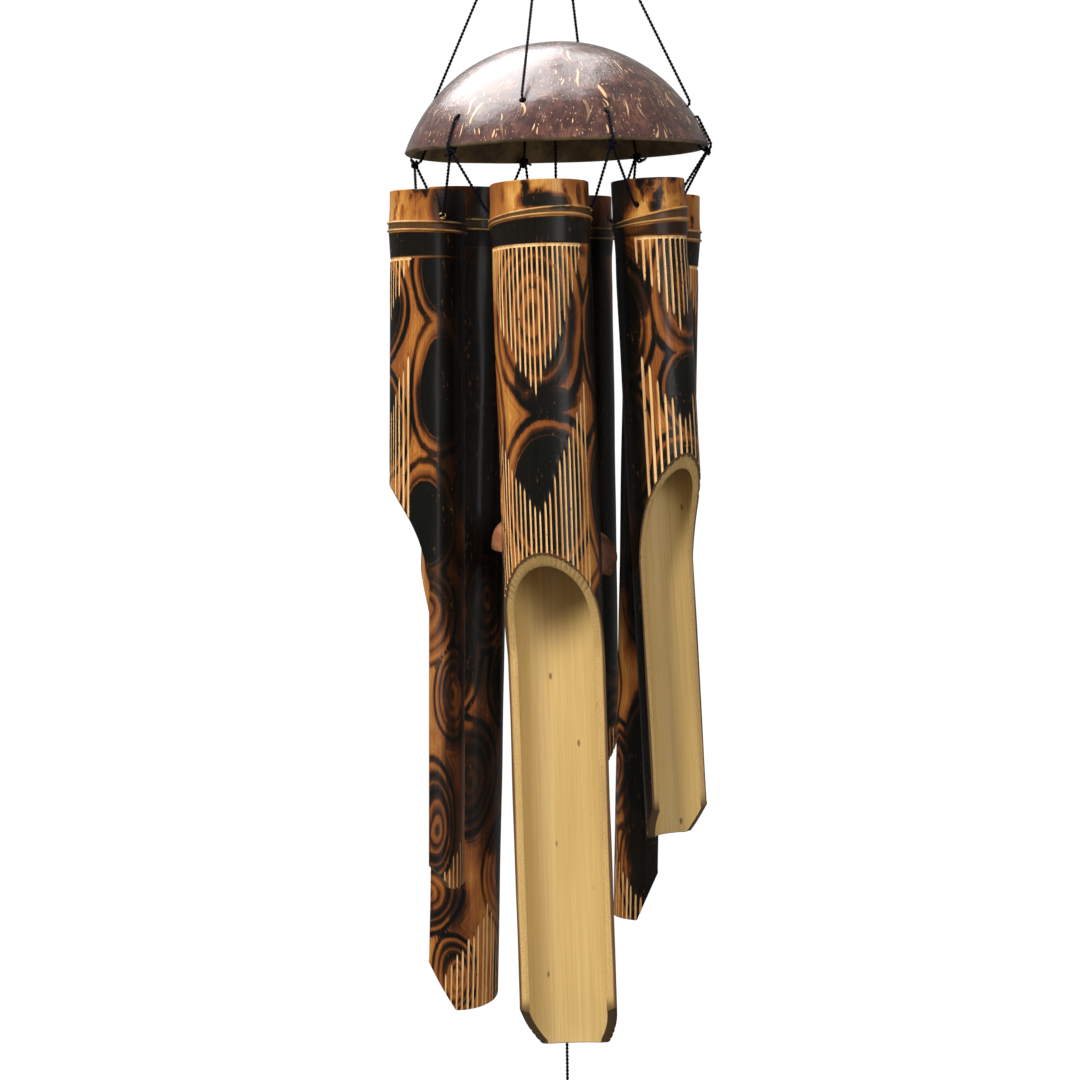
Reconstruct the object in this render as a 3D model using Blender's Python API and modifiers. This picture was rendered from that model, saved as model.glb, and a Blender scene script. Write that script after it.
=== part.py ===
"""A wind chime: six notched bamboo tubes hung in a ring on waxed cords under half a coconut shell,
with a clapper between them and a wind catcher below.

Metres, +Z up. The origin is the inside of the hanging ring's top, where a hook carries the chime.
The front is -Y. A bearing is in degrees, seen from above: 0 is the front and 90 is +X.
"""

from math import acos, asin, cos, pi, radians, sin, sqrt, tan
from typing import NamedTuple

import bmesh
import bpy
from mathutils import Matrix, Vector

GAP = 0.0004

# Hanging ring and the knot under it
RING_RADIUS = 0.011
RING_WIRE = 0.0015
RING_Z = RING_WIRE - RING_RADIUS
LOWER_WIRE_Z = RING_Z - RING_RADIUS
MAIN_KNOT_Z = -0.0325
MAIN_KNOT_RADIUS = 0.0040

# Waxed cord
CORD_RADIUS = 0.0006
CORD_BEND = 0.0025
CORD_HOLE_RADIUS = 0.0015
SMALL_KNOT_RADIUS = 0.0022
TIE_SWING_GAP = 0.0014

# Coconut dome: the cap of a sphere
DOME_RADIUS = 0.0664
DOME_RIM_RADIUS = 0.0625
DOME_CROWN_Z = -0.1225
DOME_WALL = 0.0030
DOME_TILT = radians(-0.9)
DOME_STEPS = 36
RIM_POLAR = asin(DOME_RIM_RADIUS / DOME_RADIUS)
SUSPENSION_HOLES = {  # bearing, and angle from the crown
    "front": (-14.5, radians(54.5)),
    "right": (79.0, radians(55.5)),
    "back": (166.0, radians(51.5)),
    "left": (254.0, radians(51.5)),
}
CENTRE_KNOT = Vector((0.0, 0.0, -0.1545))
CENTRE_KNOT_RADIUS = 0.0030

# Ties through the dome's rim, each carrying the cords of the two tubes beside it
TIE_POLAR = radians(59.8)
TIE_CLEARANCE = 0.0013
TIE_KNOT_DROP = 0.0028
TIE_KNOT_RISE = 0.0015
TIE_BEARINGS = {
    "front_left": -44.0,
    "front_right": 20.5,
    "right": 81.0,
    "back_right": 144.0,
    "back": 194.0,
    "left": 252.0,
}
TIES_KNOTTED_INSIDE = ("back_right", "back")

# Tubes
TUBE_STEPS = 28
HOLE_DROP = 0.0107
FLOOR_TOP = 0.0145
FLOOR_THICKNESS = 0.0030
RIDGE_DROPS = (0.0145, 0.0178)
RIDGE_HEIGHT = 0.0006
RIDGE_HALF_WIDTH = 0.0008
NOTCH_SLOPE = 0.026
NOTCH_CURVE = 0.008
CORNER_ANGLE = radians(135)
CUT_MARGIN = 0.005


class Tube(NamedTuple):
    """A tube. Lengths run down it from its top, and bearings and leans are in degrees."""

    top: tuple  # the middle of its top
    radius: float
    length: float
    notch: float  # how far down the notch starts
    depth: float  # how far in the notch goes, in radii
    corner: float  # height of the cuts at the foot's two corners
    rise: float  # how steeply the foot's edge rises towards the back
    hang: float  # bearing that it swings out towards, square to the line of its two holes
    opening: float  # bearing that its notch faces
    tilt: float  # how far its foot hangs outwards
    lean: float  # how far its foot hangs along the line of its holes
    ties: tuple
    wall: float = 0.0035


TUBES = {
    "front": Tube(
        top=(-0.0069, -0.050, -0.1840), radius=0.0198, length=0.3438, wall=0.0040,
        notch=0.1485, depth=1.07, corner=0.0145, rise=0,
        hang=-8, opening=-12, tilt=1.9, lean=1.5, ties=("front_left", "front_right"),
    ),
    "front_right": Tube(
        top=(0.0370, -0.025, -0.1816), radius=0.0149, length=0.267,
        notch=0.1115, depth=1.07, corner=0.0135, rise=6,
        hang=62, opening=41, tilt=2.7, lean=0.0, ties=("front_right", "right"),
    ),
    "back_right": Tube(
        top=(0.0444, 0.027, -0.1843), radius=0.0154, length=0.300,
        notch=0.1345, depth=1.22, corner=0.020, rise=6,
        hang=122, opening=112, tilt=-1.5, lean=0.85, ties=("right", "back_right"),
    ),
    "back": Tube(
        top=(0.0075, 0.057, -0.1825), radius=0.0160, length=0.237,
        notch=0.110, depth=1.07, corner=0.014, rise=0,
        hang=172, opening=180, tilt=0.8, lean=0.0, ties=("back_right", "back"),
    ),
    "back_left": Tube(
        top=(-0.0354, 0.041, -0.1793), radius=0.0178, length=0.342,
        notch=0.1515, depth=1.07, corner=0.0195, rise=20,
        hang=228, opening=227, tilt=1.9, lean=0.65, ties=("back", "left"),
    ),
    "front_left": Tube(
        top=(-0.0523, -0.016, -0.1843), radius=0.0153, length=0.284,
        notch=0.1195, depth=1.07, corner=0.012, rise=14,
        hang=290, opening=270, tilt=1.0, lean=0.5, ties=("left", "front_left"),
    ),
}

# Clapper: a turned half ball on the centre cord, and the wind catcher under it
CLAPPER_BASE = Vector((-0.0038, 0.0, -0.3360))
CLAPPER_RADIUS = 0.026
CLAPPER_HEIGHT = 0.020
CLAPPER_EDGE = 0.0065
CLAPPER_TILT = radians(13)
CATCHER_RADIUS = 0.026
CATCHER_HALF_THICKNESS = 0.0015
CATCHER_HOLE_DROP = 0.006
CATCHER_CENTRE = Vector((0.0, 0.0, -0.5975))
CATCHER_KNOT_Z = -0.5605


# Scene, collections and materials


def start():
    """Empties the scene and makes the collections for the parts and for the cutters."""
    for item in list(bpy.data.objects):
        bpy.data.objects.remove(item)
    made = []
    for name in ("wind_chime", "cutters"):
        collection = bpy.data.collections.new(name)
        bpy.context.scene.collection.children.link(collection)
        made.append(collection)
    return made


PARTS, CUTTERS = start()


def material(name, colour, roughness, metallic=0.0):
    made = bpy.data.materials.new(name)
    made.use_nodes = True
    surface = made.node_tree.nodes["Principled BSDF"]
    surface.inputs["Base Color"].default_value = (*colour, 1.0)
    surface.inputs["Roughness"].default_value = roughness
    surface.inputs["Metallic"].default_value = metallic
    return made


STEEL = material("steel", (0.60, 0.60, 0.60), 0.25, 1.0)
CORD = material("waxed_cord", (0.012, 0.012, 0.016), 0.45)
COCONUT = material("coconut_shell", (0.10, 0.055, 0.050), 0.20)
BAMBOO = material("burnt_bamboo", (0.42, 0.22, 0.07), 0.30)
WOOD = material("clapper_wood", (0.33, 0.13, 0.06), 0.45)


# Tools


def add(name, data, surface=None):
    """A part with its material or, without one, a cutter."""
    thing = bpy.data.objects.new(name, data)
    if surface:
        data.materials.append(surface)
        PARTS.objects.link(thing)
    else:
        thing.hide_render = True
        thing.display_type = "WIRE"
        CUTTERS.objects.link(thing)
    return thing


def mesh_from(name, build):
    """A mesh that build fills in."""
    work = bmesh.new()
    build(work)
    mesh = bpy.data.meshes.new(name)
    work.to_mesh(mesh)
    work.free()
    return mesh


def turned(name, profile, steps, surface):
    """A profile of (radius, height) points, turned about Z."""

    def build(work):
        points = [work.verts.new((radius, 0.0, height)) for radius, height in profile]
        for one, two in zip(points, points[1:]):
            work.edges.new((one, two))

    thing = add(name, mesh_from(name, build), surface)
    screw = thing.modifiers.new("turn", "SCREW")
    screw.steps = screw.render_steps = steps
    screw.use_merge_vertices = True
    screw.merge_threshold = 0.00001
    return thing


def prism(name, outline, half_width):
    """A cutter with an outline in X and Z, half_width to each side along Y."""

    def build(work):
        points = [work.verts.new((x, -half_width, z)) for x, z in outline]
        face = work.faces.new(points)
        grown = bmesh.ops.extrude_face_region(work, geom=[face])["geom"]
        moved = [item for item in grown if isinstance(item, bmesh.types.BMVert)]
        bmesh.ops.translate(work, vec=(0.0, 2 * half_width, 0.0), verts=moved)
        bmesh.ops.recalc_face_normals(work, faces=work.faces[:])

    return add(name, mesh_from(name, build))


def drill(name, middle, along, length):
    """A cutter for a cord hole, with its middle and its direction."""

    def build(work):
        bmesh.ops.create_cone(
            work, cap_ends=True, segments=12,
            radius1=CORD_HOLE_RADIUS, radius2=CORD_HOLE_RADIUS, depth=length,
        )

    thing = add(name, mesh_from(name, build))
    thing.location = middle
    thing.rotation_euler = along.to_track_quat("Z", "Y").to_euler()
    return thing


def cut(thing, cutter):
    modifier = thing.modifiers.new(cutter.name, "BOOLEAN")
    modifier.operation = "DIFFERENCE"
    modifier.solver = "EXACT"
    modifier.object = cutter


def centre_of_mass(thing):
    """The centre of mass of a solid as its modifiers leave it, in its own frame."""
    mesh = bpy.data.meshes.new_from_object(
        thing.evaluated_get(bpy.context.evaluated_depsgraph_get())
    )
    mesh.calc_loop_triangles()
    volume, moment = 0.0, Vector((0.0, 0.0, 0.0))
    for triangle in mesh.loop_triangles:
        a, b, c = (mesh.vertices[i].co for i in triangle.vertices)
        part = a.dot(b.cross(c))
        volume += part
        moment += part * (a + b + c) / 4
    bpy.data.meshes.remove(mesh)
    return moment / volume


def smooth(thing):
    thing.data.shade_smooth()
    thing.data.set_sharp_from_angle(angle=radians(35))


def outward(bearing):
    return Vector((sin(radians(bearing)), -cos(radians(bearing)), 0.0))


def sideways(bearing):
    return Vector((cos(radians(bearing)), sin(radians(bearing)), 0.0))


def pivot(name, matrix):
    """An empty on a joint's axis, for the pieces that turn about it."""
    empty = bpy.data.objects.new(name, None)
    empty.matrix_world = matrix
    empty.empty_display_size = 0.01
    PARTS.objects.link(empty)
    return empty


def hold(thing, empty):
    """Parents a piece to an empty and leaves it where it is."""
    thing.parent = empty
    thing.matrix_parent_inverse = empty.matrix_world.inverted()


# Cords: lists of points, each with the cord's radius there


def plain(points):
    return [(point, CORD_RADIUS) for point in points]


def bent(corners, bend=CORD_BEND, steps=5):
    """A cord's points through corners, each rounded off over the distance of one bend."""
    points = [corners[0]]
    for before, corner, after in zip(corners, corners[1:], corners[2:]):
        back, on = before - corner, after - corner
        start = corner + back.normalized() * min(bend, 0.45 * back.length)
        end = corner + on.normalized() * min(bend, 0.45 * on.length)
        for i in range(steps):
            t = i / (steps - 1)
            points.append(start * (1 - t) ** 2 + corner * 2 * t * (1 - t) + end * t**2)
    return plain(points + [corners[-1]])


def knot(centre, along, radius):
    """A knot: the cord swells to a round lump and back."""
    along = along.normalized()
    return [
        (centre + along * radius * t, max(CORD_RADIUS, radius * sqrt(1 - t * t)))
        for t in (-0.97, -0.7, 0.0, 0.7, 0.97)
    ]


def cord(name, path, closed=False):
    curve = bpy.data.curves.new(name, "CURVE")
    curve.dimensions = "3D"
    curve.bevel_depth = 1.0
    curve.bevel_resolution = 2
    curve.use_fill_caps = not closed
    spline = curve.splines.new("POLY")
    spline.points.add(len(path) - 1)
    for point, (place, radius) in zip(spline.points, path):
        point.co = (*place, 1.0)
        point.radius = radius
    spline.use_cyclic_u = closed
    spline.use_smooth = True
    return add(name, curve, CORD)


# Hanging ring


def hanging_ring():
    bpy.ops.mesh.primitive_torus_add(
        major_radius=RING_RADIUS, minor_radius=RING_WIRE, major_segments=28, minor_segments=8,
        location=(0.0, 0.0, RING_Z), rotation=(pi / 2, 0.0, 0.0),
    )
    ring = bpy.context.object
    ring.name = ring.data.name = "hanging_ring"
    for holder in list(ring.users_collection):
        holder.objects.unlink(ring)
    PARTS.objects.link(ring)
    ring.data.materials.append(STEEL)
    ring.data.shade_smooth()


def hanging_loop():
    """A loop of cord over the ring's lower wire, drawn together in the main knot."""
    over = 1.1 * (RING_WIRE + CORD_RADIUS + GAP)
    knot_top = MAIN_KNOT_Z + 0.9 * MAIN_KNOT_RADIUS
    corners = [
        Vector((0.0, 0.35 * over, knot_top)),
        Vector((0.0, over, LOWER_WIRE_Z - over)),
        Vector((0.0, over, LOWER_WIRE_Z + over)),
        Vector((0.0, -over, LOWER_WIRE_Z + over)),
        Vector((0.0, -over, LOWER_WIRE_Z - over)),
        Vector((0.0, -0.35 * over, knot_top)),
    ]
    lump = knot(Vector((0.0, 0.0, MAIN_KNOT_Z)), Vector((0.0, 1.0, 0.0)), MAIN_KNOT_RADIUS)
    cord("hanging_loop", bent(corners, bend=0.002) + lump, closed=True)


# Dome


def dome_frame():
    """The dome's own frame: its origin is the middle of its sphere."""
    crown = Matrix.Translation((0.0, 0.0, DOME_CROWN_Z))
    return crown @ Matrix.Rotation(DOME_TILT, 4, "Y") @ Matrix.Translation((0, 0, -DOME_RADIUS))


def on_dome(bearing, polar, depth=0.0):
    """A point at an angle from the crown, and at a depth below the dome's outer face."""
    along = outward(bearing) * sin(polar) + Vector((0.0, 0.0, cos(polar)))
    return dome_frame() @ (along * (DOME_RADIUS - depth))


def coconut_dome():
    rings = 10
    angles = [RIM_POLAR * i / (rings - 1) for i in range(rings)]
    inner = DOME_RADIUS - DOME_WALL
    profile = [(DOME_RADIUS * sin(a), DOME_RADIUS * cos(a)) for a in angles]
    profile += [(inner * sin(a), inner * cos(a)) for a in reversed(angles)]
    dome = turned("coconut_dome", profile, DOME_STEPS, COCONUT)
    dome.matrix_world = dome_frame()
    places = [(side, *hole) for side, hole in SUSPENSION_HOLES.items()]
    places += [("tie_" + side, bearing, TIE_POLAR) for side, bearing in TIE_BEARINGS.items()]
    for side, bearing, polar in places:
        middle = on_dome(bearing, polar, DOME_WALL / 2)
        along = on_dome(bearing, polar, -DOME_WALL) - middle
        cut(dome, drill("dome_hole_" + side, middle, along, 4 * DOME_WALL))


def suspension_cord(side, bearing, polar):
    """From the main knot, in through the dome to a stopper knot, and on to the centre knot."""
    outside = on_dome(bearing, polar, -0.0022)
    inside = on_dome(bearing, polar, DOME_WALL + SMALL_KNOT_RADIUS + GAP)
    start = Vector((0.0, 0.0, MAIN_KNOT_Z))
    start += (outside - start).normalized() * (MAIN_KNOT_RADIUS + GAP)
    end = CENTRE_KNOT + (inside - CENTRE_KNOT).normalized() * (CENTRE_KNOT_RADIUS + GAP)
    turn = (end - inside).normalized()
    path = bent([start, outside, inside - (inside - outside).normalized() * SMALL_KNOT_RADIUS])
    path += knot(inside, turn + (inside - outside).normalized(), SMALL_KNOT_RADIUS)[1:-1]
    cord("suspension_cord_" + side, path + plain([inside + turn * SMALL_KNOT_RADIUS, end]))


def centre_knot():
    """The knot inside the dome where the four suspension cords meet and the clapper hangs."""

    def build(work):
        bmesh.ops.create_icosphere(work, subdivisions=2, radius=CENTRE_KNOT_RADIUS)

    lump = add("centre_knot", mesh_from("centre_knot", build), CORD)
    lump.location = CENTRE_KNOT
    lump.data.shade_smooth()


def tie_knot(side):
    """The middle of a rim tie's knot: under the rim, or inside the dome just above the rim."""
    if side in TIES_KNOTTED_INSIDE:
        rise, depth = TIE_KNOT_RISE, DOME_WALL + SMALL_KNOT_RADIUS + GAP
    else:
        rise, depth = -TIE_KNOT_DROP, DOME_WALL / 2
    return on_dome(TIE_BEARINGS[side], RIM_POLAR - rise / DOME_RADIUS, depth)


def rim_tie(side, bearing):
    """A loop through a hole above the rim and round the rim's edge, with its knot in it."""
    outer, inner = -TIE_CLEARANCE, DOME_WALL + TIE_CLEARANCE
    centre = tie_knot(side)
    holes = [on_dome(bearing, TIE_POLAR, outer), on_dome(bearing, TIE_POLAR, inner)]
    if side in TIES_KNOTTED_INSIDE:
        along = (centre - holes[1]).normalized()
        foot = RIM_POLAR + 0.002 / DOME_RADIUS
        edge = [on_dome(bearing, foot, depth) for depth in (DOME_WALL + CORD_BEND, outer)]
        corners = [*edge, *holes]
    else:
        along = outward(bearing)
        foot = RIM_POLAR + 0.001 / DOME_RADIUS
        corners = [on_dome(bearing, foot, outer), *holes, on_dome(bearing, foot, inner)]
    near = along * 0.75 * SMALL_KNOT_RADIUS
    path = bent([centre + near, *corners, centre - near], bend=TIE_CLEARANCE, steps=4)[1:-1]
    cord("rim_tie_" + side, path + knot(centre, along, SMALL_KNOT_RADIUS), closed=True)


# Tubes


def tube_profile(tube):
    """The wall, with its two ridges at the node, and the floor across it at the node."""
    outer, inner = tube.radius, tube.radius - tube.wall
    profile = [(0.0, -FLOOR_TOP), (inner, -FLOOR_TOP), (inner, 0.0), (outer, 0.0)]
    for drop in RIDGE_DROPS:
        profile += [
            (outer, RIDGE_HALF_WIDTH - drop),
            (outer + RIDGE_HEIGHT, -drop),
            (outer, -drop - RIDGE_HALF_WIDTH),
        ]
    foot, under = -tube.length, -FLOOR_TOP - FLOOR_THICKNESS
    return profile + [(outer, foot), (inner, foot), (inner, under), (0.0, under)]


def notch_outline(tube):
    """The notch slopes in from the outer face, ever steeper, and then runs on to the foot."""
    steps = 8
    out, foot = tube.radius + CUT_MARGIN, -tube.length - CUT_MARGIN
    outline = [(out, -tube.notch + CUT_MARGIN * NOTCH_SLOPE / tube.radius)]
    for i in range(steps + 1):
        depth = tube.depth * i / steps
        drop = NOTCH_SLOPE * depth + NOTCH_CURVE * depth**6
        outline.append((tube.radius * (1 - depth), -tube.notch - drop))
    return outline + [(tube.radius * (1 - tube.depth), foot), (out, foot)]


def tongue_edge(tube):
    """The angle round the tube from the middle of its notch to the edge of the tongue below."""
    return acos(1 - tube.depth)


def corner_outline(tube):
    """The slanted cut that takes off one corner of the foot, with the tongue's edge at -X."""
    half = tube.radius * sin((CORNER_ANGLE - tongue_edge(tube)) / 2)
    beyond = 0.5
    high = (-half - 2 * half * beyond, -tube.length + tube.corner * (1 + beyond))
    low = (half + 2 * half * beyond, -tube.length - tube.corner * beyond)
    return [high, (high[0], low[1]), low]


def foot_outline(tube):
    """The slanted cut under the foot, which rises towards +X from the foot's near side."""
    reach = tube.radius + CUT_MARGIN
    slope = tan(radians(tube.rise))
    near, far = (-tube.length + slope * (x + tube.radius) for x in (-reach, reach))
    under = -tube.length - 2 * CUT_MARGIN
    return [(-reach, near), (-reach, under), (reach, under), (reach, far)]


def tube_cutters(name, tube):
    """The notch, the foot's two corners and, where it rises, the foot's slant."""
    wide = tube.radius + CUT_MARGIN
    turn = radians(tube.opening - tube.hang)
    notch = prism("notch_" + name, notch_outline(tube), wide)
    notch.rotation_euler.z = turn
    cutters = [notch]
    across = (tongue_edge(tube) + CORNER_ANGLE) / 2
    for label, side in (("left_", -1), ("right_", 1)):
        corner = prism("corner_" + label + name, corner_outline(tube), wide)
        corner.rotation_euler.z = turn + side * (across + pi / 2)
        cutters.append(corner)
    if tube.rise:
        foot = prism("foot_" + name, foot_outline(tube), wide)
        foot.rotation_euler.z = radians(180 - tube.hang)
        cutters.append(foot)
    return cutters


def tube_frame(tube):
    """The tube's frame at the middle of its top: X swings out, Y is the line of its holes."""
    return (
        Matrix.Translation(tube.top)
        @ Matrix.Rotation(radians(tube.hang - 90), 4, "Z")
        @ Matrix.Rotation(radians(-tube.tilt), 4, "Y")
        @ Matrix.Rotation(radians(tube.lean), 4, "X")
    )


def hang_tube(name, tube):
    """Cuts a tube, drills it right over its centre of mass, and hangs it on its cord."""
    body = turned("tube_" + name, tube_profile(tube), TUBE_STEPS, BAMBOO)
    cutters = tube_cutters(name, tube)
    for cutter in cutters:
        cut(body, cutter)
    bpy.context.view_layer.update()

    middle = centre_of_mass(body)
    offset = middle.x + (-HOLE_DROP - middle.z) * tan(radians(tube.tilt))
    holes = Vector((offset, 0.0, -HOLE_DROP))
    along = Vector((0.0, 1.0, 0.0))
    hole = drill("cord_hole_" + name, holes, along, 2 * tube.radius + 2 * CUT_MARGIN)
    cut(body, hole)

    frame = tube_frame(tube)
    axle = pivot("tube_pivot_" + name, frame @ Matrix.Translation(holes))
    for piece in [body, hole, *cutters]:
        piece.parent = axle
        piece.location -= holes
    reach = sqrt(tube.radius**2 - offset**2)
    mouths = [frame @ (holes + along * side * reach) for side in (-1, 1)]
    tube_cord(name, tube, mouths)


def tube_cord(name, tube, mouths):
    """From one rim tie down to the tube, through its two holes and up to the next tie."""
    across = (mouths[1] - mouths[0]).normalized()
    outside = [mouths[0] - across * 0.0018, mouths[1] + across * 0.0018]
    ends = []
    for side, mouth in zip(tube.ties, outside):
        knot_middle = tie_knot(side)
        level = Vector((mouth.x - knot_middle.x, mouth.y - knot_middle.y, 0.0)).normalized()
        under = Vector((0.0, 0.0, SMALL_KNOT_RADIUS + TIE_SWING_GAP))
        ends.append(knot_middle + level * 0.0018 - under)
    strand = cord("tube_cord_" + name, bent([ends[0], *outside, ends[1]]))
    middle = (mouths[0] + mouths[1]) / 2
    over = Matrix.Translation((middle.x, middle.y, (ends[0].z + ends[1].z) / 2))
    hold(strand, pivot("cord_pivot_" + name, over @ Matrix.Rotation(radians(tube.hang - 90), 4, "Z")))


# Clapper and wind catcher


def clapper():
    """A half ball with a low straight edge, hung a little askew, with its cord right through."""
    steps = 8
    profile = [(0.0, CLAPPER_HEIGHT)]
    for i in range(1, steps + 1):
        angle = pi / 2 * i / steps
        height = CLAPPER_EDGE + (CLAPPER_HEIGHT - CLAPPER_EDGE) * cos(angle)
        profile.append((CLAPPER_RADIUS * sin(angle), height))
    profile += [(0.96 * CLAPPER_RADIUS, 0.0), (0.0, 0.0)]
    ball = turned("clapper", profile, TUBE_STEPS, WOOD)
    ball.location = CLAPPER_BASE
    ball.rotation_euler.y = CLAPPER_TILT
    middle = Vector((0.0, 0.0, CLAPPER_BASE.z + CLAPPER_HEIGHT / 2))
    cut(ball, drill("clapper_hole", middle, Vector((0, 0, 1)), 3 * CLAPPER_HEIGHT))


def clapper_cord():
    """Down from the centre knot, through the clapper, to the stopper knot that carries it."""
    under = CLAPPER_BASE.z - (SMALL_KNOT_RADIUS + GAP) - 0.003
    down = Vector((0.0, 0.0, -1.0))
    top = CENTRE_KNOT + down * (CENTRE_KNOT_RADIUS + GAP)
    stopper = Vector((0.0, 0.0, under))
    path = plain([top, top + down * 0.06, top + down * 0.12])
    cord("clapper_cord", path + knot(stopper, down, SMALL_KNOT_RADIUS))
    return stopper + down * SMALL_KNOT_RADIUS


def catcher_cord(start):
    """From under the clapper to a knot just over the wind catcher's loop."""
    down = Vector((0.0, 0.0, -1.0))
    end = Vector((0.0, 0.0, CATCHER_KNOT_Z))
    first = start + down * GAP
    path = plain([first, first.lerp(end, 0.35), first.lerp(end, 0.7)])
    cord("catcher_cord", path + knot(end, down, SMALL_KNOT_RADIUS))


def wind_catcher():
    """A flat round disc with one hole near its top."""

    def build(work):
        bmesh.ops.create_cone(
            work, cap_ends=True, segments=32,
            radius1=CATCHER_RADIUS, radius2=CATCHER_RADIUS, depth=2 * CATCHER_HALF_THICKNESS,
        )

    disc = add("wind_catcher", mesh_from("wind_catcher", build), WOOD)
    disc.location = CATCHER_CENTRE
    disc.rotation_euler.x = pi / 2
    hole = CATCHER_CENTRE + Vector((0.0, 0.0, CATCHER_RADIUS - CATCHER_HOLE_DROP))
    across = Vector((0.0, 1.0, 0.0))
    cut(disc, drill("catcher_hole", hole, across, 8 * CATCHER_HALF_THICKNESS))
    return hole


def catcher_loop(hole):
    """A loop from the catcher cord's knot through the wind catcher's hole."""
    centre = Vector((0.0, 0.0, CATCHER_KNOT_Z - 2 * SMALL_KNOT_RADIUS - GAP))
    side = Vector((0.0, CATCHER_HALF_THICKNESS + 0.0012, 0.0))
    near = Vector((0.0, 0.75 * SMALL_KNOT_RADIUS, 0.0))
    corners = [centre + near, hole + side, hole - side, centre - near]
    path = bent(corners, bend=0.0012, steps=4)[1:-1]
    cord("catcher_loop", path + knot(centre, side, SMALL_KNOT_RADIUS), closed=True)


def wind_chime():
    hanging_ring()
    hanging_loop()
    coconut_dome()
    for side, (bearing, polar) in SUSPENSION_HOLES.items():
        suspension_cord(side, bearing, polar)
    centre_knot()
    for side, bearing in TIE_BEARINGS.items():
        rim_tie(side, bearing)
    for name, tube in TUBES.items():
        hang_tube(name, tube)
    clapper()
    catcher_cord(clapper_cord())
    catcher_loop(wind_catcher())
    bpy.context.view_layer.update()
    for thing in PARTS.objects:
        if thing.type == "MESH":
            smooth(thing)


wind_chime()
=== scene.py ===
"""The looks of a bamboo wind chime: burnt and fluted tubes on twisted cords under half a coconut shell.

Metres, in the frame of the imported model: the origin is the inside of the hanging ring's top, +Z is
up and the front is -Y. A bearing is in degrees, seen from above: 0 is the front and 90 is +X.
"""

from math import acos, asin, atan2, ceil, cos, degrees, pi, radians, sin, sqrt
from typing import NamedTuple

import bmesh
import bpy
import numpy as np
from mathutils import Matrix, Vector, noise


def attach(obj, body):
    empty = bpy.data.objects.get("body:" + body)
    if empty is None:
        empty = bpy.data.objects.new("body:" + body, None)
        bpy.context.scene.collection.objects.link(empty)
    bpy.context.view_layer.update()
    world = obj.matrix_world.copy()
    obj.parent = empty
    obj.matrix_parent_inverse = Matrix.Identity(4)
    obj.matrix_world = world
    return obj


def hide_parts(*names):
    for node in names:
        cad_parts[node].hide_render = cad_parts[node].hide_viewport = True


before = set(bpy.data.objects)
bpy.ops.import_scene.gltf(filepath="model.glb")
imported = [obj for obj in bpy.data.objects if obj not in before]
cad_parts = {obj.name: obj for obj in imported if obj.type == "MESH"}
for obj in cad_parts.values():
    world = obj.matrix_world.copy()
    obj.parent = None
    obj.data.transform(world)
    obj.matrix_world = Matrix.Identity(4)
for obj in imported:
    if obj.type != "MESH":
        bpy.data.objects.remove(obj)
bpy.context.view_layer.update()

# ---------------------------------------------------------------- sizes, as in the solids

RING_RADIUS, RING_WIRE = 0.011, 0.0015
RING_Z = RING_WIRE - RING_RADIUS
LOWER_WIRE_Z = RING_Z - RING_RADIUS
MAIN_KNOT_Z, MAIN_KNOT_RADIUS = -0.0325, 0.004
CORD_RADIUS, CORD_HOLE_RADIUS, SMALL_KNOT_RADIUS = 0.0006, 0.0015, 0.0022
GAP = 0.0004

DOME_RADIUS, DOME_RIM_RADIUS, DOME_CROWN_Z, DOME_WALL = 0.0664, 0.0625, -0.1225, 0.003
DOME_TILT = radians(-0.9)
RIM_POLAR = asin(DOME_RIM_RADIUS / DOME_RADIUS)
SUSPENSION_HOLES = {
    "front": (-14.5, radians(54.5)),
    "right": (79.0, radians(55.5)),
    "back": (166.0, radians(51.5)),
    "left": (254.0, radians(51.5)),
}
CENTRE_KNOT, CENTRE_KNOT_RADIUS = Vector((0.0, 0.0, -0.1545)), 0.003
TIE_POLAR = radians(59.8)
TIE_BEARINGS = {
    "front_left": -44.0,
    "front_right": 20.5,
    "right": 81.0,
    "back_right": 144.0,
    "back": 194.0,
    "left": 252.0,
}
TIES_KNOTTED_INSIDE = ("back_right", "back")

HOLE_DROP, FLOOR_TOP, FLOOR_THICKNESS = 0.0107, 0.0145, 0.003
NOTCH_SLOPE, NOTCH_CURVE, CORNER_ANGLE = 0.026, 0.008, radians(135)

CLAPPER_BASE = Vector((-0.0038, 0.0, -0.336))
CLAPPER_RADIUS, CLAPPER_HEIGHT, CLAPPER_EDGE = 0.026, 0.02, 0.0065
CLAPPER_TILT = radians(13)
CATCHER_RADIUS, CATCHER_HALF_THICKNESS, CATCHER_HOLE_DROP = 0.026, 0.0015, 0.006
CATCHER_CENTRE, CATCHER_KNOT_Z = Vector((0.0, 0.0, -0.5975)), -0.5605


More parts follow.
